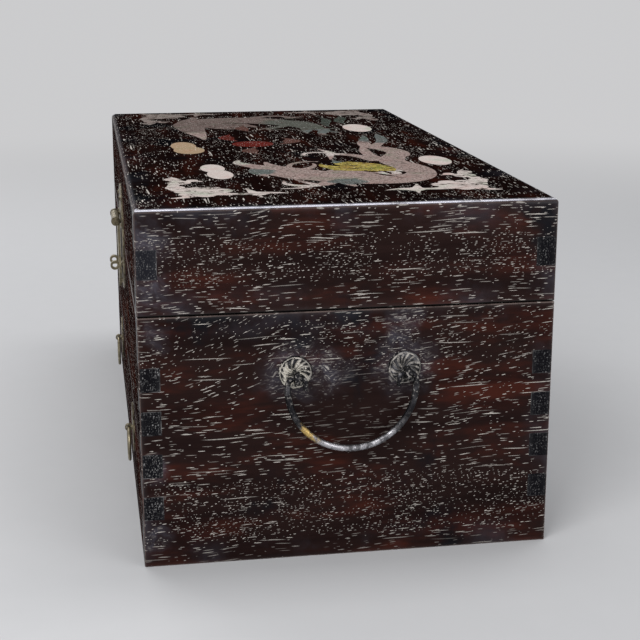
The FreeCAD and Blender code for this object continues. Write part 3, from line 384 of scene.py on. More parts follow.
def ragged(g, position, scale, shift):
    """The position moved about by up to half of shift each way, so that round areas get ragged edges."""
    drift = g.vector("SUBTRACT", g.noise(position, scale, 3.0, output="Color"), (0.5, 0.5, 0.5))
    return g.vector("ADD", position, g.vector("MULTIPLY", drift, shift))


# How far from the last board the next one is cut, in metres.
BOARD_SHIFT = (0.31, 0.17, 0.23)


def along_grain(graph, position, grain, seed):
    """The position with X along the grain, shifted so that each board is cut from another place."""
    parts = graph.split(position)
    turned = {"X": ("X", "Y", "Z"), "Y": ("Y", "X", "Z")}[grain]
    shift = tuple(seed * part for part in BOARD_SHIFT)
    return graph.vector("ADD", graph.join(*[parts[axis] for axis in turned]), shift)


def seen(g):
    """1 for what the camera sees, directly or in metal and glass."""
    path = g.add("ShaderNodeLightPath").outputs
    direct = g.plus(path["Is Camera Ray"], path["Is Glossy Ray"])
    return g.plus(direct, path["Is Transmission Ray"], clamp=True)


# -------- wood
# The fingers that end in the front and back boards: (foot of the lowest one, height, pitch, how far
# their roots are from the middle). The lid's pitch leaves room for one only.
BASE_JOINT = (24.0 * MM, 11.8 * MM, 21.3 * MM, END_HIGH[1] - WALL)
LID_JOINT = (141.6 * MM, 14 * MM, 60 * MM, END_HIGH[1] - WALL)
JOINT_LINE = (0.12 * MM, 0.50 * MM)  # the line round a finger is full within the first, gone past the second

# How a board is cut and worn, where BOARDS says nothing else.
PLAIN_BOARD = {
    "grain": "X",  # the axis that the grain runs along
    "gloss": 0.0,  # how much the wood itself shines
    "clouds": 0.5,  # how much of the wood is dark
    "shade": 1.0,  # how bright the wood is; the lid's top uses it for painted shade
    "amount": 1.0,  # of chalk in the pores
    "patchy": 0.4,  # how unevenly the chalk lies
    "width": 1.0,  # of the pores, against the setting
    "dots": (),  # the heights (low, high, share) whose pores are short dots
    "slant": (),  # the areas (place, reach, slope) whose pores rise across the board
    "joint": (),  # the fingers that end in the board's ends
    "speckle": 1.0,  # how clearly those fingers' pores show; lower on the back boards as painted shade
    "finger_bloom_and_sheen": 0.0,  # how much haze, wax bloom with painted sheen, lies on those fingers
    "bright": False,  # whether the upper edge gets a painted highlight, patchy as on a rubbed edge
    "seam_shaded": False,  # whether painted shade darkens the foot, along the seam with the base
}
LONG_BOARD = {"amount": 0.8}
BASE_DOTS = ((13 * MM, 39 * MM, 1.0), (98 * MM, 121 * MM, 0.45))
LID_DOTS = ((141 * MM, 158 * MM, 0.85),)
BASE_END = {"grain": "Y", "gloss": 0.05, "dots": BASE_DOTS}
LID_END = {**BASE_END, "dots": LID_DOTS, "clouds": 0.3, "shade": 1.2, "amount": 1.15, "seam_shaded": True}
# Painted shade: the lid's top is painted far darker than the other boards (low shade, more dark clouds).
LID_TOP = {"clouds": 0.8, "shade": 0.45, "amount": 0.50, "patchy": 0.75, "width": 1.75, "bright": True}
RISING_PORES = (
    ((END_HIGH[0], -60 * MM, 108 * MM), 42 * MM, 0.34),
    ((END_HIGH[0], 60 * MM, 105 * MM), 50 * MM, 0.14),
)
# A board's place in this table is its seed, so a new board goes last.
BOARDS = {
    "base_right_end": {**BASE_END, "slant": RISING_PORES},
    "base_left_end": BASE_END,
    "lid_right_end": LID_END,
    "lid_left_end": LID_END,
    "base_front": {**LONG_BOARD, "joint": BASE_JOINT},
    # Painted shade: base_back and lid_back show their fingers' pores dimmer, on the back side of each end.
    "base_back": {**LONG_BOARD, "joint": BASE_JOINT, "speckle": 0.5},
    "lid_front": {**LONG_BOARD, "joint": LID_JOINT, "speckle": 0.7, "finger_bloom_and_sheen": 0.10, "seam_shaded": True},
    "lid_back": {**LONG_BOARD, "joint": LID_JOINT, "speckle": 0.6, "seam_shaded": True},
    "lid_top": LID_TOP,
    "right_drawer_front": LONG_BOARD,
    "left_drawer_front": LONG_BOARD,
}

# The boards inside the case and those of each drawer's box, with the axis of their grain.
INNER_BOARDS = {
    "base_bottom": "X",
    "well_floor": "X",
    "drawer_partition": "Y",
    "well_divider": "Y",
    "drawer_guides": "Y",
}
DRAWER_BOARDS = {"left_side": "Y", "right_side": "Y", "back": "X", "bottom": "X"}
FIRST_INNER_SEED = 20

# The layers of pores: (the setting for the cells' length, pitch, a pore's width against the setting,
# share that is filled among streaks and among dots, slope). A long pore keeps to the grain.
PORE_LAYERS = (
    ("long_pore", 1.7 * MM, 1.15, 0.36, 0.02, None),
    ("short_pore", 1.15 * MM, 0.95, 0.56, 0.12, 0.03),
    ("dash_pore", 1.0 * MM, 0.92, 0.12, 0.36, 0.08),
    ("dot_pore", 1.0 * MM, 0.95, 0.02, 0.40, 0.15),
)
BAND_EASE = 4 * MM  # over which a band of dots fades
END_PORES = ((1.45 * MM, 0.62), (0.9 * MM, 0.55))  # (size, share that is filled) of the pores in end grain

# Where bloom with painted sheen gathers: down the front of the ends, at (shares of the height, reach), and
# about the handles, at (rosette, along, up, reach, share of chalk), in a rosette's radii.
END_BLOOM_AND_SHEEN = {"lid": ((0.30, 0.75), 14 * MM), "base": ((0.10, 0.40, 0.92), 10 * MM)}
END_BLOOM_INSET = 6 * MM
HANDLE_BLOOM_AND_SHEEN = (
    ("front", 0.0, 0.0, 2.7, 0.75),
    ("back", 0.0, 0.0, 2.7, 0.75),
    ("front", 2.2, -0.2, 1.9, 0.75),
    ("back", -0.1, 1.7, 1.35, 0.5),
    ("back", -0.1, 3.0, 1.35, 0.5),
)
RUBBED_REACH = 0.46  # how far the area with little chalk reaches under the bail, in the bail's widths


def board_material(node, seed, look, dusty, rubbed):
    """Dark open-pored hardwood for one board.

    look: as PLAIN_BOARD says. dusty: (place, reach, share of chalk) of what bloom and painted sheen gather
    about.
    rubbed: (place, reach) of the areas with little chalk left.
    """
    wood = bpy.context.scene.case_wood
    constants = {"Specular_IOR_Level": look["gloss"], "Coat_Roughness": 0.12}
    material, g, shader, position = new_material(node + "_wood", **constants)
    low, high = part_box(node)
    place = along_grain(g, position, look["grain"], seed)
    figure = g.drawn_out(place, (8.0, 70.0, 70.0), 1.0, 5.0, 0.6)
    near_edge = g.edges(position, low, high, BLOOM_AND_SHEEN_REACH)
    # Bloom with painted sheen: a bluish haze painted near the edges and about the fittings.
    bloom_and_sheen_share = g.times(near_edge, g.step(g.noise(place, 31.0, 5.0, 0.6), 0.46, 0.74, 0.0, 0.25))
    chalk = pore_chalk(g, place, position, look)
    for centre, reach in rubbed:
        kept = g.step(g.vector("DISTANCE", position, centre), 0.6 * reach, reach, 0.3, 1.0)
        chalk = g.times(chalk, kept)
    for centre, reach, scratched in dusty:
        dust = g.group("Dust Ring", {"Position": position, "Centre": centre, "Reach": reach})
        bloom_and_sheen_share = g.larger(bloom_and_sheen_share, g.times(dust["Haze"], 0.43))
        chalk = g.larger(chalk, g.times(dust["Chalk"], scratched))
    tint = g.mix(bloom_and_sheen_share, heart_colour(g, place, figure, near_edge, look["clouds"]), wood.bloom_and_sheen)
    # The shade setting scales the wood's colour; on the lid's top it is painted shade, which also dims its
    # worn edges.
    tint = g.tinted(tint, 3 * (look["shade"],))
    # Edge wear with a painted highlight: a pale line along every board's edges.
    uneven = g.step(g.noise(position, 90.0, 4.0), 0.30, 0.55, 0.35, 1.0)
    worn = g.times(uneven, min(look["shade"], 1.0))
    tint = g.mix(g.times(g.edges(position, low, high, WEAR_AND_HIGHLIGHT_REACH), worn), tint, wood.worn_edge_and_highlight)
    tint = g.mix(chalk, tint, wood.chalk)
    glint = 0.35
    # Painted highlight: the lid's upper edge is painted pale bluish, strongest along the edges over both
    # ends.
    if look["bright"]:
        along = g.absolute(g.split(position)["X"])
        at_end = g.step(along, high[0] - 6 * MM, high[0] - 3 * MM, 0.06, 1.0)
        bright = g.times(g.edges(position, low, high, BRIGHT_REACH), g.times(at_end, uneven))
        tint = g.mix(bright, tint, wood.painted_highlight_edge)
        glint = g.times(at_end, g.step(g.noise(position, 60.0), 0.3, 0.6, 0.5, 1.0))
    # Painted shade: the foot of the lid's boards, along the seam with the base, is painted near black.
    if look["seam_shaded"]:
        seam_shadow = g.step(g.split(position)["Z"], low[2] + 1.0 * MM, low[2] + 0.5 * MM)
        tint = g.mix(seam_shadow, tint, wood.seam_shade)
    speckle = g.times(end_speckle(g, place, position, look["joint"]), look["speckle"])
    ends = g.mix(speckle, g.mix(look["finger_bloom_and_sheen"], wood.end_grain, wood.bloom_and_sheen), wood.end_pore)
    g.put(shader.inputs["Base Color"], g.mix(across_grain(g, look["grain"]), tint, ends))
    polish = g.step(figure, 0.3, 0.7, 0.30, 0.42)
    g.put(shader.inputs["Roughness"], g.larger(polish, g.times(chalk, 0.9)))
    rim = g.edges(position, low, high, POLISH_REACH)
    g.put(shader.inputs["Coat Weight"], g.times(rim, glint))
    fine = g.drawn_out(place, (60.0, 1100.0, 1100.0), 1.0, 3.0)
    bump(g, shader, g.minus(g.times(fine, 0.2), g.times(chalk, 0.4)), 0.08 * MM)
    return material


def heart_colour(g, place, figure, near_edge, clouds):
    """The wood's own colour: red streaks, a darker figure along the grain, and dark clouds."""
    wood = bpy.context.scene.case_wood
    patch = g.drawn_out(place, (0.7, 2.4, 2.4), 26.0, 4.0, 0.6)
    red = g.times(g.step(patch, 0.45, 0.68), g.step(figure, 0.34, 0.60, 0.2, 1.0))
    tint = g.mix(red, wood.heartwood, wood.red_streak)
    tint = g.mix(g.step(figure, 0.60, 0.34, 0.0, 0.75), tint, g.tinted(tint, (0.42, 0.39, 0.41)))
    cloudy = g.plus(g.noise(place, 26.0, 5.0, 0.6), g.times(near_edge, 0.07))
    return g.mix(g.step(cloudy, 0.70 - 0.24 * clouds, 0.86 - 0.24 * clouds), tint, wood.dark_cloud)


def across_grain(g, grain):
    """1 on the faces that cut across the grain."""
    normal = g.split(g.add("ShaderNodeTexCoord").outputs["Normal"])[grain]
    return g.step(g.absolute(normal), 0.75, 0.95)


def end_speckle(g, place, position, joint):
    """Cut pores on end grain, as fine dense dots, with pale wax in the joint round each finger."""
    parts = g.split(place)
    face = g.join(parts["Y"], parts["Z"], 0.0)
    dots = 0.0
    for size, amount in END_PORES:
        cells = {"Position": face, "Length": size, "Pitch": size, "Width": size * 0.58}
        pores = g.group("Pores", {**cells, "Amount": amount, "Slant": 0.2})["Mask"]
        dots = g.larger(dots, pores)
    dots = g.times(dots, g.step(g.noise(position, 210.0, 3.0), 0.36, 0.62, 0.15, 1.0))
    if joint:
        waxed = g.step(g.noise(position, 180.0), 0.42, 0.64, 0.0, 0.5)
        dots = g.larger(dots, g.times(joint_lines(g, position, *joint), waxed))
    return dots


def joint_lines(g, position, foot, height, pitch, root):
    """The joint round each finger's end, on all four sides."""
    parts = g.split(position)
    rise = g.math("FLOORED_MODULO", g.minus(parts["Z"], foot), pitch)
    sides = g.smaller(rise, g.absolute(g.minus(rise, height)))
    inner = g.absolute(g.minus(g.absolute(parts["Y"]), root))
    full, gone = JOINT_LINE
    return g.step(g.smaller(sides, inner), gone, full)


def pore_chalk(g, place, position, look):
    """Chalk in the open pores: long streaks and dashes, and bands where the pores are short dots."""
    wood = bpy.context.scene.case_wood
    wander = g.minus(g.drawn_out(place, (1.0, 0.6, 0.6), 15.0, 1.0), 0.5)
    flow = g.vector("ADD", place, g.join(0.0, g.times(wander, 9 * MM), 0.0))
    drift = g.drawn_out(place, (0.4, 1.2, 1.2), 40.0, 3.0)
    dotted = dotted_share(g, position, drift, look["dots"])
    tilt = 0.0
    for centre, reach, slope in look["slant"]:
        tilt = g.plus(tilt, g.times(g.near(position, centre, reach, 0.4 * reach), slope))
    lumps = g.noise(place, 70.0, 2.0)
    least = (0.9 - look["patchy"]) * look["amount"]
    most = (0.9 + look["patchy"]) * look["amount"]
    mask = 0.0
    for size, pitch, width, streaked, speckled, slope in PORE_LAYERS:
        filled = g.step(dotted, 0.0, 1.0, streaked, speckled)
        pores = {"Position": flow, "Length": getattr(wood, size), "Pitch": pitch}
        pores["Width"] = wood.pore_width * look["width"] * width
        pores["Amount"] = g.times(filled, g.step(lumps, 0.30, 0.66, least, most))
        pores["Slant"] = g.plus(tilt, slope) if slope else 0.0
        mask = g.larger(mask, g.group("Pores", pores)["Mask"])
    worn = g.step(g.noise(place, 600.0, 3.0), 0.28, 0.55, 0.5, 1.0)
    return g.times(g.times(mask, outer_faces(g, position)), worn)


def dotted_share(g, position, drift, bands):
    """How far the pores are short dots: in the bands of height, or in patches where there are none."""
    if not bands:
        return g.step(drift, 0.48, 0.58)
    height = g.plus(g.split(position)["Z"], g.times(g.minus(drift, 0.5), 14 * MM))
    dotted = 0.0
    for low, high, share in bands:
        band = g.times(g.step(height, low - BAND_EASE, low), g.step(height, high + BAND_EASE, high))
        dotted = g.larger(dotted, g.times(band, share))
    return dotted


def outer_faces(g, position):
    """1 near the closed case's outer faces, low inside it, and less by the floor."""
    parts = g.split(position)
    inward = g.minus(LID_HIGH[0], g.absolute(parts["X"]))
    inward = g.smaller(inward, g.minus(LID_HIGH[1], g.absolute(parts["Y"])))
    inward = g.smaller(inward, g.minus(LID_HIGH[2], parts["Z"]))
    outer = g.step(inward, CHALK_DEPTH, CHALK_DEPTH / 2, 0.2, 1.0)
    return g.times(outer, g.step(parts["Z"], *FLOOR_RUB, 0.45, 1.0))


def inner_material(node, grain, seed):
    """Plainer wood inside the case."""
    wood = bpy.context.scene.case_wood
    material, g, shader, position = new_material(node + "_wood")
    place = along_grain(g, position, grain, seed)
    rings = g.drawn_out(place, (7.0, 120.0, 120.0), 1.0, 6.0, 0.62)
    dark = g.tinted(wood.inner_wood, (0.45, 0.38, 0.34))
    tint = g.mix(g.step(rings, 0.34, 0.68), dark, wood.inner_wood)
    cells = {"Position": place, "Length": 8 * MM, "Pitch": 0.9 * MM, "Width": 0.3 * MM}
    pores = g.group("Pores", {**cells, "Amount": 0.5, "Slant": 0.0})["Mask"]
    stain = g.step(g.noise(position, 18.0, 4.0), 0.45, 0.70, 0.0, 0.5)
    tint = g.mix(stain, tint, g.tinted(tint, (0.55, 0.50, 0.48)))
    g.put(shader.inputs["Base Color"], g.mix(pores, tint, g.tinted(dark, (0.4, 0.4, 0.4))))
    g.put(shader.inputs["Roughness"], g.step(rings, 0.3, 0.7, 0.52, 0.66))
    bump(g, shader, g.minus(g.times(rings, 0.5), pores), 0.12 * MM)
    return material


# -------- metal
def brass_material(name, patina, handled):
    """Old brass: dark bronze patina, pitted, and pale where it is handled."""
    metal = bpy.context.scene.case_metal
    material, g, shader, position = new_material(name, Metallic=1.0)
    skin = g.group("Patina", {"Position": position})
    tint = g.mix(g.times(skin["Skin"], patina), metal.brass, metal.brass_patina)
    tint = g.mix(g.step(skin["Rub"], 0.0, 1.0, 0.3 * handled, handled), tint, metal.rubbed_brass)
    g.put(shader.inputs["Base Color"], tint)
    g.put(shader.inputs["Roughness"], g.step(skin["Skin"], 0.0, 1.0, 0.30, 0.58))
    bump(g, shader, g.minus(g.times(skin["Skin"], 0.4), skin["Pit"]), 0.06 * MM)
    return material


def handle_material(name, dust, rubbed=None, worn_spot=None):
    """Dark grey patina over metal, with chalk in it.

    dust: how much chalk lies in it. rubbed: the (lower, upper) heights between which a part that is
    rubbed bright ends. worn_spot: the middle of a spot that is worn down to yellow metal.
    """
    metal = bpy.context.scene.case_metal
    wood = bpy.context.scene.case_wood
    material, g, shader, position = new_material(name)
    skin = g.group("Patina", {"Position": position})
    bright = g.times(skin["Rub"], 0.12)
    if rubbed:
        lower, upper = rubbed
        height = g.split(position)["Z"]
        bare = g.times(g.step(height, upper, lower), g.step(skin["Skin"], 1.0, 0.0, 0.22, 0.95))
        bright = g.larger(bright, bare)
        dust = g.plus(dust, g.step(height, upper, upper + 16 * MM, 0.0, 0.5))
    tint = g.mix(bright, metal.grey_patina, metal.bare_metal)
    if worn_spot:
        blotched = g.step(g.noise(position, 330.0, 3.0), 0.38, 0.54)
        yellow = g.times(g.near(position, worn_spot, 8.5 * MM, 3 * MM), blotched)
        tint = g.mix(yellow, tint, metal.worn_spot)
    chalk = g.times(g.step(g.noise(position, 650.0, 3.0, 0.7), 0.55, 0.64), dust)
    g.put(shader.inputs["Base Color"], g.mix(chalk, tint, wood.chalk))
    g.put(shader.inputs["Metallic"], g.minus(0.95, chalk, clamp=True))
    smooth = g.step(bright, 0.0, 1.0, 0.44, 0.24)
    g.put(shader.inputs["Roughness"], g.plus(smooth, g.times(chalk, 0.4)))
    bump(g, shader, g.minus(g.times(skin["Skin"], 0.5), skin["Pit"]), 0.10 * MM)
    return material


def rosette_material(name, heavy):
    """Grey patina with chalk packed between the lobes, and thick about the heavy point."""
    metal = bpy.context.scene.case_metal
    wood = bpy.context.scene.case_wood
    material, g, shader, position = new_material(name)
    hollow = g.add("ShaderNodeAttribute", attribute_name="hollow").outputs["Fac"]
    skin = g.group("Patina", {"Position": position})
    tint = g.mix(g.times(skin["Rub"], 0.25), metal.grey_patina, metal.bare_metal)
    thick = g.near(position, heavy, 13 * MM, 4 * MM)
    smeared = g.plus(g.noise(position, 340.0, 4.0, 0.7), g.step(thick, 0.0, 1.0, -0.04, 0.10))
    broken = g.times(g.step(smeared, 0.36, 0.54, 0.35, 1.0), g.step(thick, 0.0, 0.8, 0.85, 1.0))
    packed = g.times(g.step(hollow, 0.05, 0.30), broken)
    chalk = g.larger(packed, g.step(smeared, 0.55, 0.65, 0.0, 0.95))
    g.put(shader.inputs["Base Color"], g.mix(chalk, tint, g.mix(thick, wood.chalk, wood.fresh_chalk)))
    g.put(shader.inputs["Metallic"], g.minus(0.9, chalk, clamp=True))
    g.put(shader.inputs["Roughness"], g.plus(0.42, g.times(chalk, 0.45)))
    bump(g, shader, g.minus(chalk, skin["Pit"]), 0.12 * MM)
    return material


# -------- shell
# The areas of a piece that are cut from other shell: ((x, y) in mm, reach in mm, colour in the settings).
RIGHT_DRAGON_SLIPS = (
    ((92, -30), 11, "slate"),
    ((132, 10), 11, "slate"),
    ((-30, 64), 26, "slate"),
    ((56, -36), 11, "white"),
    ((30, 14), 15, "white"),
    ((140, -18), 14, "white"),
    ((104, 38), 9, "white"),
)
LEFT_DRAGON_SLIPS = (((-105, 34), 46, "grey"), ((-70, 30), 13, "slate"), ((-60, -48), 22, "pink"))
# The inlay: (its own colour, size of its scales in mm or 0, whether it is cut into scrolls, its areas).
INLAY = {
    "inlay_right_dragon": ("pink", 3.0, False, RIGHT_DRAGON_SLIPS),
    # The left-hand dragon, and the mane's area beside it, use the pink darkened as painted shade.
    "inlay_left_dragon": ("painted_shade_pink", 3.0, False, LEFT_DRAGON_SLIPS),
    "inlay_manes": ("yellow", 4.0, True, (((-110, -26), 42, "painted_shade_pink"), ((60, 14), 8, "slate"))),
    "inlay_sea_scrolls": ("foam", 5.0, False, ()),
    # The clouds at the far end turn to the white darkened as painted shade.
    "inlay_clouds": ("white", 0.0, True, (((-185, -50), 95, "painted_shade_white"), ((-185, 50), 95, "painted_shade_white"))),
    "inlay_discs": ("white", 0.0, False, (((-10, -62), 42, "tan"),)),
    "inlay_flames": ("rose", 4.0, False, (((-50, -30), 22, "red"),)),
    "inlay_pearl": ("red", 0.0, False, ()),
}


def shell_material(name, own, scales, scrolls, areas):
    """Mother-of-pearl, plain, engraved with scales or cut into scrolls, as one row of INLAY says."""
    shell = bpy.context.scene.case_shell
    material, g, shader, position = new_material(name, Specular_IOR_Level=0.0)
    bent = ragged(g, position, 150.0, (12 * MM, 12 * MM, 0.0))
    tint = getattr(shell, own)
    for (x, y), reach, other in areas:
        middle = (x * MM, y * MM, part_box("lid_top")[1][2])
        edge = reach * MM
        tint = g.mix(g.near(bent, middle, edge, 0.72 * edge), tint, getattr(shell, other))
    lustre = g.group("Shell Lustre", {"Position": position, "Colour": tint})
    height = g.times(lustre["Height"], 0.15)
    flecks = g.noise(position, 620.0, 4.0, 0.65)
    cut = g.step(flecks, 0.56, 0.72, 0.0, 0.45 if scales else 0.30)
    if scales:
        flat = g.vector("MULTIPLY", position, (1.0, 1.0, 0.0))
        cells = {"Vector": flat, "Scale": 1.0 / (scales * MM), "Randomness": 0.75}
        walls = g.add("ShaderNodeTexVoronoi", cells, feature="DISTANCE_TO_EDGE").outputs["Distance"]
        cut = g.larger(g.times(g.step(walls, 0.10, 0.02), 0.55), cut)
    if scrolls:
        from_line = g.absolute(g.minus(g.drawn_out(bent, (190.0, 42.0, 0.0), 1.0, 2.0), 0.5))
        cut = g.larger(cut, g.step(from_line, 0.030, 0.012, 0.0, 0.9))
    g.put(shader.inputs["Base Color"], g.mix(cut, lustre["Colour"], shell.engraving))
    g.put(shader.inputs["Roughness"], g.step(lustre["Height"], 0.3, 0.7, 0.30, 0.45))
    bump(g, shader, g.minus(height, cut), 0.08 * MM)
    return material


# -------- pieces
def dress(node, material):
    """Gives a CAD node its material, in every slot it has."""
    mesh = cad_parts[node].data
    if not mesh.materials:
        mesh.materials.append(material)
    for k in range(len(mesh.materials)):
        mesh.materials[k] = material


def new_piece(name, mesh):
    """An object at the origin from a bmesh, which is used up."""
    data = bpy.data.meshes.new(name)
    mesh.to_mesh(data)
    mesh.free()
    piece = bpy.data.objects.new(name, data)
    bpy.context.scene.collection.objects.link(piece)
    return piece


# -------- operators
class CASE_OT_finish_boards(bpy.types.Operator):
    """Finishes the outer boards of the base, the lid and the drawer fronts"""

    bl_idname = "case.finish_boards"
    bl_label = "Finish the outer boards"

    def execute(self, context):
        for seed, (node, own) in enumerate(BOARDS.items(), 1):
            look = {**PLAIN_BOARD, **own}
            dress(node, board_material(node, seed, look, self.fittings(node), self.under_bail(node)))
        return {"FINISHED"}

    def fittings(self, node):
        """Where bloom with painted sheen gathers on a board: down the front of the ends, and about the
        handles' rosettes.
        """
        board, side = node.split("_")[:2]
        if side not in ENDS:
            return []
        low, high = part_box(node)
        face = high[0] if side == "right" else low[0]
        shares, reach = END_BLOOM_AND_SHEEN[board]
        rises = [low[2] + share * (high[2] - low[2]) for share in shares]
        spots = [((face, low[1] + END_BLOOM_INSET, rise), reach, 0.2) for rise in rises]
        if board == "lid":
            return spots
        low, high = [Vector(corner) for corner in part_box(side + "_handle_rosettes")]
        inner = low.x if side == "right" else high.x
        radius = (high.z - low.z) / 2
        rosettes = {"front": low.y + radius, "back": high.y - radius}
        for rosette, along, up, reach, share in HANDLE_BLOOM_AND_SHEEN:
            place = (inner, rosettes[rosette] + along * radius, (low.z + high.z) / 2 + up * radius)
            spots.append((place, reach * radius, share))
        return spots

    def under_bail(self, node):
        """Where the bail, and hands on it, have rubbed most of the chalk out of an end board."""
        board, side = node.split("_")[:2]
        if board != "base" or side not in ENDS:
            return []
        low, high = [Vector(corner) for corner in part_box(side + "_bail")]
        return [((low + high) / 2, RUBBED_REACH * (high.y - low.y))]


class CASE_OT_finish_inside(bpy.types.Operator):
    """Finishes the wood inside the case and the drawers' boxes"""

    bl_idname = "case.finish_inside"
    bl_label = "Finish the inside"

    def execute(self, context):
        pieces = dict(INNER_BOARDS)
        for side in ENDS:
            for part, grain in DRAWER_BOARDS.items():
                pieces[side + "_drawer_" + part] = grain
        for seed, (node, grain) in enumerate(pieces.items(), FIRST_INNER_SEED):
            dress(node, inner_material(node, grain, seed))
        return {"FINISHED"}


class CASE_OT_finish_metal(bpy.types.Operator):
    """Finishes the lock, the hinges, the nails and the drawer pulls in old brass"""

    bl_idname = "case.finish_metal"
    bl_label = "Finish the brass"

    def execute(self, context):
        still = ["lock_plate_upper", "lock_plate_lower", "hasp_eyes", "hasp_pin", "lid_nails", "base_nails"]
        touched = ["hasp", "lock_staples"]
        for side in ENDS:
            still += [side + "_hinge_" + part for part in ("lid_leaf", "base_leaf", "pin")]
            still.append(side + "_drawer_pull_plate")
            touched += [side + "_drawer_pull_" + part for part in ("post", "ring")]
        for nodes, *brass in ((still, "old_brass", 0.92, 0.15), (touched, "handled_brass", 0.5, 0.55)):
            material = brass_material(*brass)
            for node in nodes:
                dress(node, material)
        return {"FINISHED"}


# A bail is rubbed bright up to the first of these heights over its foot, and not at all above the second.
# The right-hand one has a yellow spot, at these shares of the way to its front end and of its height.
BAIL_RUBBED = (4 * MM, 17 * MM)
WORN_SPOT = (0.69, 0.235)


class CASE_OT_finish_handles(bpy.types.Operator):
    """Finishes the bails and their posts"""

    bl_idname = "case.finish_handles"
    bl_label = "Finish the handles"

    def execute(self, context):
        for side in ENDS:
            low, high = [Vector(corner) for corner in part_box(side + "_bail")]
            spot = ((low.x + high.x) / 2, WORN_SPOT[0] * low.y, low.z + WORN_SPOT[1] * (high.z - low.z))
            rubbed = [low.z + height for height in BAIL_RUBBED]
            worn_spot = spot if side == "right" else None
            dress(side + "_bail", handle_material(side + "_bail_metal", 0.10, rubbed, worn_spot))
            dress(side + "_handle_posts", handle_material(side + "_post_metal", dust=0.70))
        return {"FINISHED"}


# A rosette's section from its middle outwards, as (reach, rise) in shares of its radius and height.
ROSETTE_DISH = ((0.0, 0.60), (0.10, 0.60), (0.18, 0.62), (0.24, 0.72), (0.30, 0.84), (0.36, 0.92))
ROSETTE_CROWN = ((0.42, 0.97), (0.48, 1.0), (0.54, 1.0), (0.60, 0.98), (0.66, 0.94), (0.72, 0.88))
ROSETTE_SLOPE = ((0.78, 0.79), (0.83, 0.68), (0.87, 0.55), (0.90, 0.36), (0.925, 0.28))
ROSETTE_BEAD = ((0.95, 0.36), (0.975, 0.40), (1.0, 0.30))
ROSETTE_BACK = ((1.0, 0.0), (0.5, 0.0), (0.0, 0.0))
ROSETTE_PROFILE = ROSETTE_DISH + ROSETTE_CROWN + ROSETTE_SLOPE + ROSETTE_BEAD + ROSETTE_BACK
ROSETTE_STEPS = 168

# Its lobes are cut between their start and the groove inside the bead, in shares of the radius. The cut
# deepens over the first length and fades over the second.
ROSETTE_LOBES = 14
ROSETTE_TWIST = 1.1  # how far a lobe whorls from the middle to the rim, in radians
LOBE_START, LOBE_DEEPENS = 0.18, 0.12
GROOVE, LOBE_FADES = (0.90, 0.95), 0.10
LOBE_DEPTH = 0.62
LOBE_ROUNDNESS = 0.6
# The lobes are uneven, as by hand: (waves in a turn, swing in radians, phase in radians per metre).
LOBE_WAVES = ((3, 0.07, 900.0), (7, 0.05, 0.0))

# The chalk is thickest this many radii in from the lower front corner of the rosettes' box, both ways.
HEAVY_CHALK = 0.70


def ramp(value, length):
    """value as a share of the length, kept between 0 and 1."""
    return min(1.0, max(0.0, value / length))


class CASE_OT_add_rosettes(bpy.types.Operator):
    """Adds the whorled rosettes that the handles' posts stand on"""

    bl_idname = "case.add_rosettes"
    bl_label = "Add the rosettes"

    def execute(self, context):
        for side, end in ENDS.items():
            node = side + "_handle_rosettes"
            low, high = [Vector(corner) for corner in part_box(node)]
            radius = (high.z - low.z) / 2
            foot = low.x if end > 0 else high.x
            heavy = (foot, low.y + HEAVY_CHALK * radius, low.z + HEAVY_CHALK * radius)
            metal = rosette_material(side + "_rosette_metal", heavy)
            for name, y in (("front", low.y + radius), ("back", high.y - radius)):
                middle = Vector((foot, y, (low.z + high.z) / 2))
                piece = self.cast(f"{side}_{name}_rosette", middle, end, radius, high.x - low.x)
                piece.data.materials.append(metal)
                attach(piece, "base")
                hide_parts(node)
        return {"FINISHED"}

    def cast(self, name, middle, end, radius, height):
        """One rosette: a profile spun about its middle, then cut into whorled lobes inside a bead."""
        mesh = bmesh.new()
        section = [Vector((end * rise * height, 0, reach * radius)) for reach, rise in ROSETTE_PROFILE]
        line = [mesh.verts.new(middle + point) for point in section]
        for inner, outer in zip(line, line[1:]):
            mesh.edges.new((inner, outer))
        turn = {"cent": middle, "axis": X_AXIS, "dvec": (0, 0, 0), "angle": 2 * math.pi, "use_merge": True}
        bmesh.ops.spin(mesh, geom=mesh.verts[:] + mesh.edges[:], steps=ROSETTE_STEPS, **turn)
        bmesh.ops.remove_doubles(mesh, verts=mesh.verts, dist=0.001 * MM)
        bmesh.ops.recalc_face_normals(mesh, faces=mesh.faces)
        self.cut_lobes(mesh, middle, end, radius, height)
        for face in mesh.faces:
            face.smooth = True
        return new_piece(name, mesh)

    def cut_lobes(self, mesh, middle, end, radius, height):
        """Lowers the face between the lobes, and marks how deep in a hollow each vertex lies."""
        hollow = mesh.verts.layers.float.new("hollow")
        for vert in mesh.verts:
            offset = vert.co - middle
            if offset.x * end <= 0.05 * height:
                continue
            reach = math.hypot(offset.y, offset.z) / radius
            turn = math.atan2(offset.z, offset.y) + ROSETTE_TWIST * reach
            swings = [swing * math.sin(waves * turn + phase * middle.y) for waves, swing, phase in LOBE_WAVES]
            turn += sum(swings)
            lobe = abs(math.sin(ROSETTE_LOBES * turn / 2)) ** LOBE_ROUNDNESS
            share = ramp(reach - LOBE_START, LOBE_DEEPENS) * ramp(GROOVE[0] - reach, LOBE_FADES)
            vert.co.x -= offset.x * share * LOBE_DEPTH * (1 - lobe)
            in_groove = 1.0 if GROOVE[0] < reach < GROOVE[1] else 0.0
            vert[hollow] = max(share * (1 - lobe) ** 1.5, in_groove)


class CASE_OT_finish_inlay(bpy.types.Operator):
    """Finishes the shell inlay of the lid"""

    bl_idname = "case.finish_inlay"
    bl_label = "Finish the inlay"

    def execute(self, context):
        for node, cut in INLAY.items():
            dress(node, shell_material(node + "_shell", *cut))
        return {"FINISHED"}


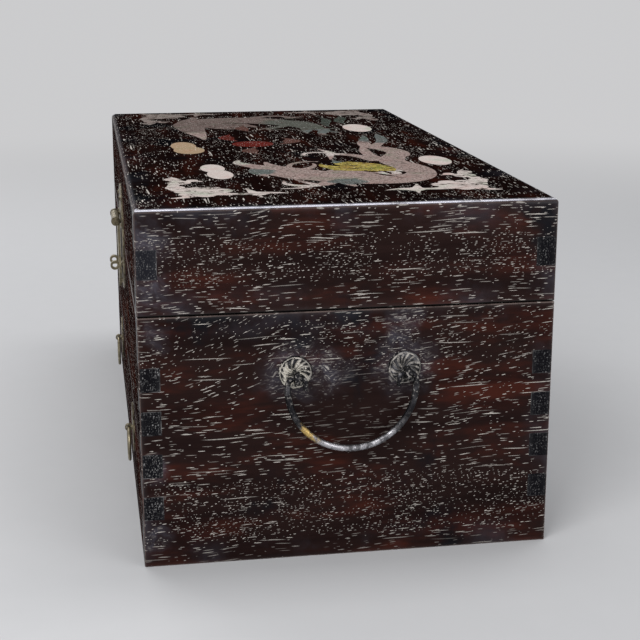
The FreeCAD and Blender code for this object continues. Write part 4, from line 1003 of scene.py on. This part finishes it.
# The lamps: (place, (width, height), watts), all of them turned to one point.
LAMPS = {
    "key_lamp": ((1.05, -0.75, 0.95), (0.8, 0.8), 11.0),
    "fill_lamp": ((1.15, 0.85, 0.55), (0.9, 0.9), 4.5),
    "top_lamp": ((0.0, 0.18, 1.15), (0.30, 0.65), 3.4),
    "back_lamp": ((-0.9, -0.5, 0.9), (0.8, 0.8), 5.0),
}
LAMP_AIM = Vector((0, 0, 0.09))
SENSOR_WIDTH = 36.0

# Between the fade's two distances the floor turns from paint, which is uneven by this share, to one
# even colour.
FLOOR_RADIUS = 60.0
FLOOR_FADE = (0.45, 1.5)
FLOOR_UNEVEN = 0.015


class CASE_OT_set_stage(bpy.types.Operator):
    """Lays the floor, hangs the lamps and places the camera"""

    bl_idname = "case.set_stage"
    bl_label = "Set the stage"

    def execute(self, context):
        stage = context.scene.case_stage
        self.lay_floor(stage)
        self.light_sky(context.scene, stage)
        for name, (place, size, power) in LAMPS.items():
            self.hang_lamp(name, Vector(place), size, power)
        self.place_camera(context.scene, stage)
        context.scene.view_settings.view_transform = "Standard"
        return {"FINISHED"}

    def lay_floor(self, stage):
        """A floor that keeps the shadow near the case and is evenly pale far from it."""
        mesh = bmesh.new()
        bmesh.ops.create_circle(mesh, cap_ends=True, segments=96, radius=FLOOR_RADIUS)
        floor = new_piece("floor", mesh)
        material, g, shader, position = new_material("floor_paint", Roughness=0.8, Specular_IOR_Level=0.0)
        grain = g.noise(position, 60.0, 3.0)
        pale = Vector(stage.floor)
        paint = g.mix(grain, pale * (1 - FLOOR_UNEVEN), pale * (1 + FLOOR_UNEVEN))
        g.put(shader.inputs["Base Color"], paint)
        even = g.add("ShaderNodeEmission", {"Color": pale, "Strength": 1.0}).outputs[0]
        far = g.step(g.vector("LENGTH", position), *FLOOR_FADE)
        blend = g.add("ShaderNodeMixShader", {0: g.times(far, seen(g)), 1: shader.outputs[0], 2: even})
        g.put(material.node_tree.nodes["Material Output"].inputs["Surface"], blend.outputs[0])
        floor.data.materials.append(material)

    def light_sky(self, scene, stage):
        """Soft light from all round; where it is seen, it has the floor's colour."""
        world = bpy.data.worlds.new("soft_sky")
        world.use_nodes = True
        g = Graph(world.node_tree)
        light = world.node_tree.nodes["Background"]
        g.put(light.inputs["Color"], stage.sky)
        g.put(light.inputs["Strength"], stage.sky_strength)
        backdrop = g.add("ShaderNodeBackground", {"Color": stage.floor, "Strength": 1.0}).outputs[0]
        blend = g.add("ShaderNodeMixShader", {0: seen(g), 1: light.outputs[0], 2: backdrop})
        g.put(world.node_tree.nodes["World Output"].inputs["Surface"], blend.outputs[0])
        scene.world = world

    def hang_lamp(self, name, place, size, power):
        data = bpy.data.lights.new(name, "AREA")
        data.shape = "RECTANGLE"
        data.size, data.size_y = size
        data.energy = power
        lamp = bpy.data.objects.new(name, data)
        turn = (LAMP_AIM - place).to_track_quat("-Z", "Y").to_matrix().to_4x4()
        lamp.matrix_world = Matrix.Translation(place) @ turn
        bpy.context.scene.collection.objects.link(lamp)

    def place_camera(self, scene, stage):
        data = bpy.data.cameras.new("camera")
        data.lens = stage.lens
        data.sensor_width = SENSOR_WIDTH
        camera = bpy.data.objects.new("camera", data)
        turn = Vector(stage.camera_heading).to_track_quat("-Z", "Y").to_matrix().to_4x4()
        camera.matrix_world = Matrix.Translation(stage.camera_place) @ turn
        scene.collection.objects.link(camera)
        scene.camera = camera


OPERATORS = (
    CASE_OT_finish_boards,
    CASE_OT_finish_inside,
    CASE_OT_finish_metal,
    CASE_OT_finish_handles,
    CASE_OT_add_rosettes,
    CASE_OT_finish_inlay,
    CASE_OT_set_stage,
)


class CASE_PT_panel(bpy.types.Panel):
    """Lists the steps in order"""

    bl_label = "Mahjong Case"
    bl_idname = "CASE_PT_panel"
    bl_space_type = "VIEW_3D"
    bl_region_type = "UI"
    bl_category = "Mahjong Case"

    def draw(self, context):
        for operator in OPERATORS:
            self.layout.operator(operator.bl_idname)
        for name, group in SETTINGS.items():
            box = self.layout.box()
            for field in group.__annotations__:
                box.prop(getattr(context.scene, name), field)


def register():
    for name, group in SETTINGS.items():
        bpy.utils.register_class(group)
        setattr(bpy.types.Scene, name, PointerProperty(type=group))
    for item in (*OPERATORS, CASE_PT_panel):
        bpy.utils.register_class(item)


def unregister():
    for item in (CASE_PT_panel, *reversed(OPERATORS)):
        bpy.utils.unregister_class(item)
    for name, group in reversed(SETTINGS.items()):
        delattr(bpy.types.Scene, name)
        bpy.utils.unregister_class(group)


def main():
    register()
    bpy.ops.case.finish_boards()
    bpy.ops.case.finish_inside()
    bpy.ops.case.finish_metal()
    bpy.ops.case.finish_handles()
    bpy.ops.case.add_rosettes()
    bpy.ops.case.finish_inlay()
    bpy.ops.case.set_stage()


if __name__ == "__main__":
    main()
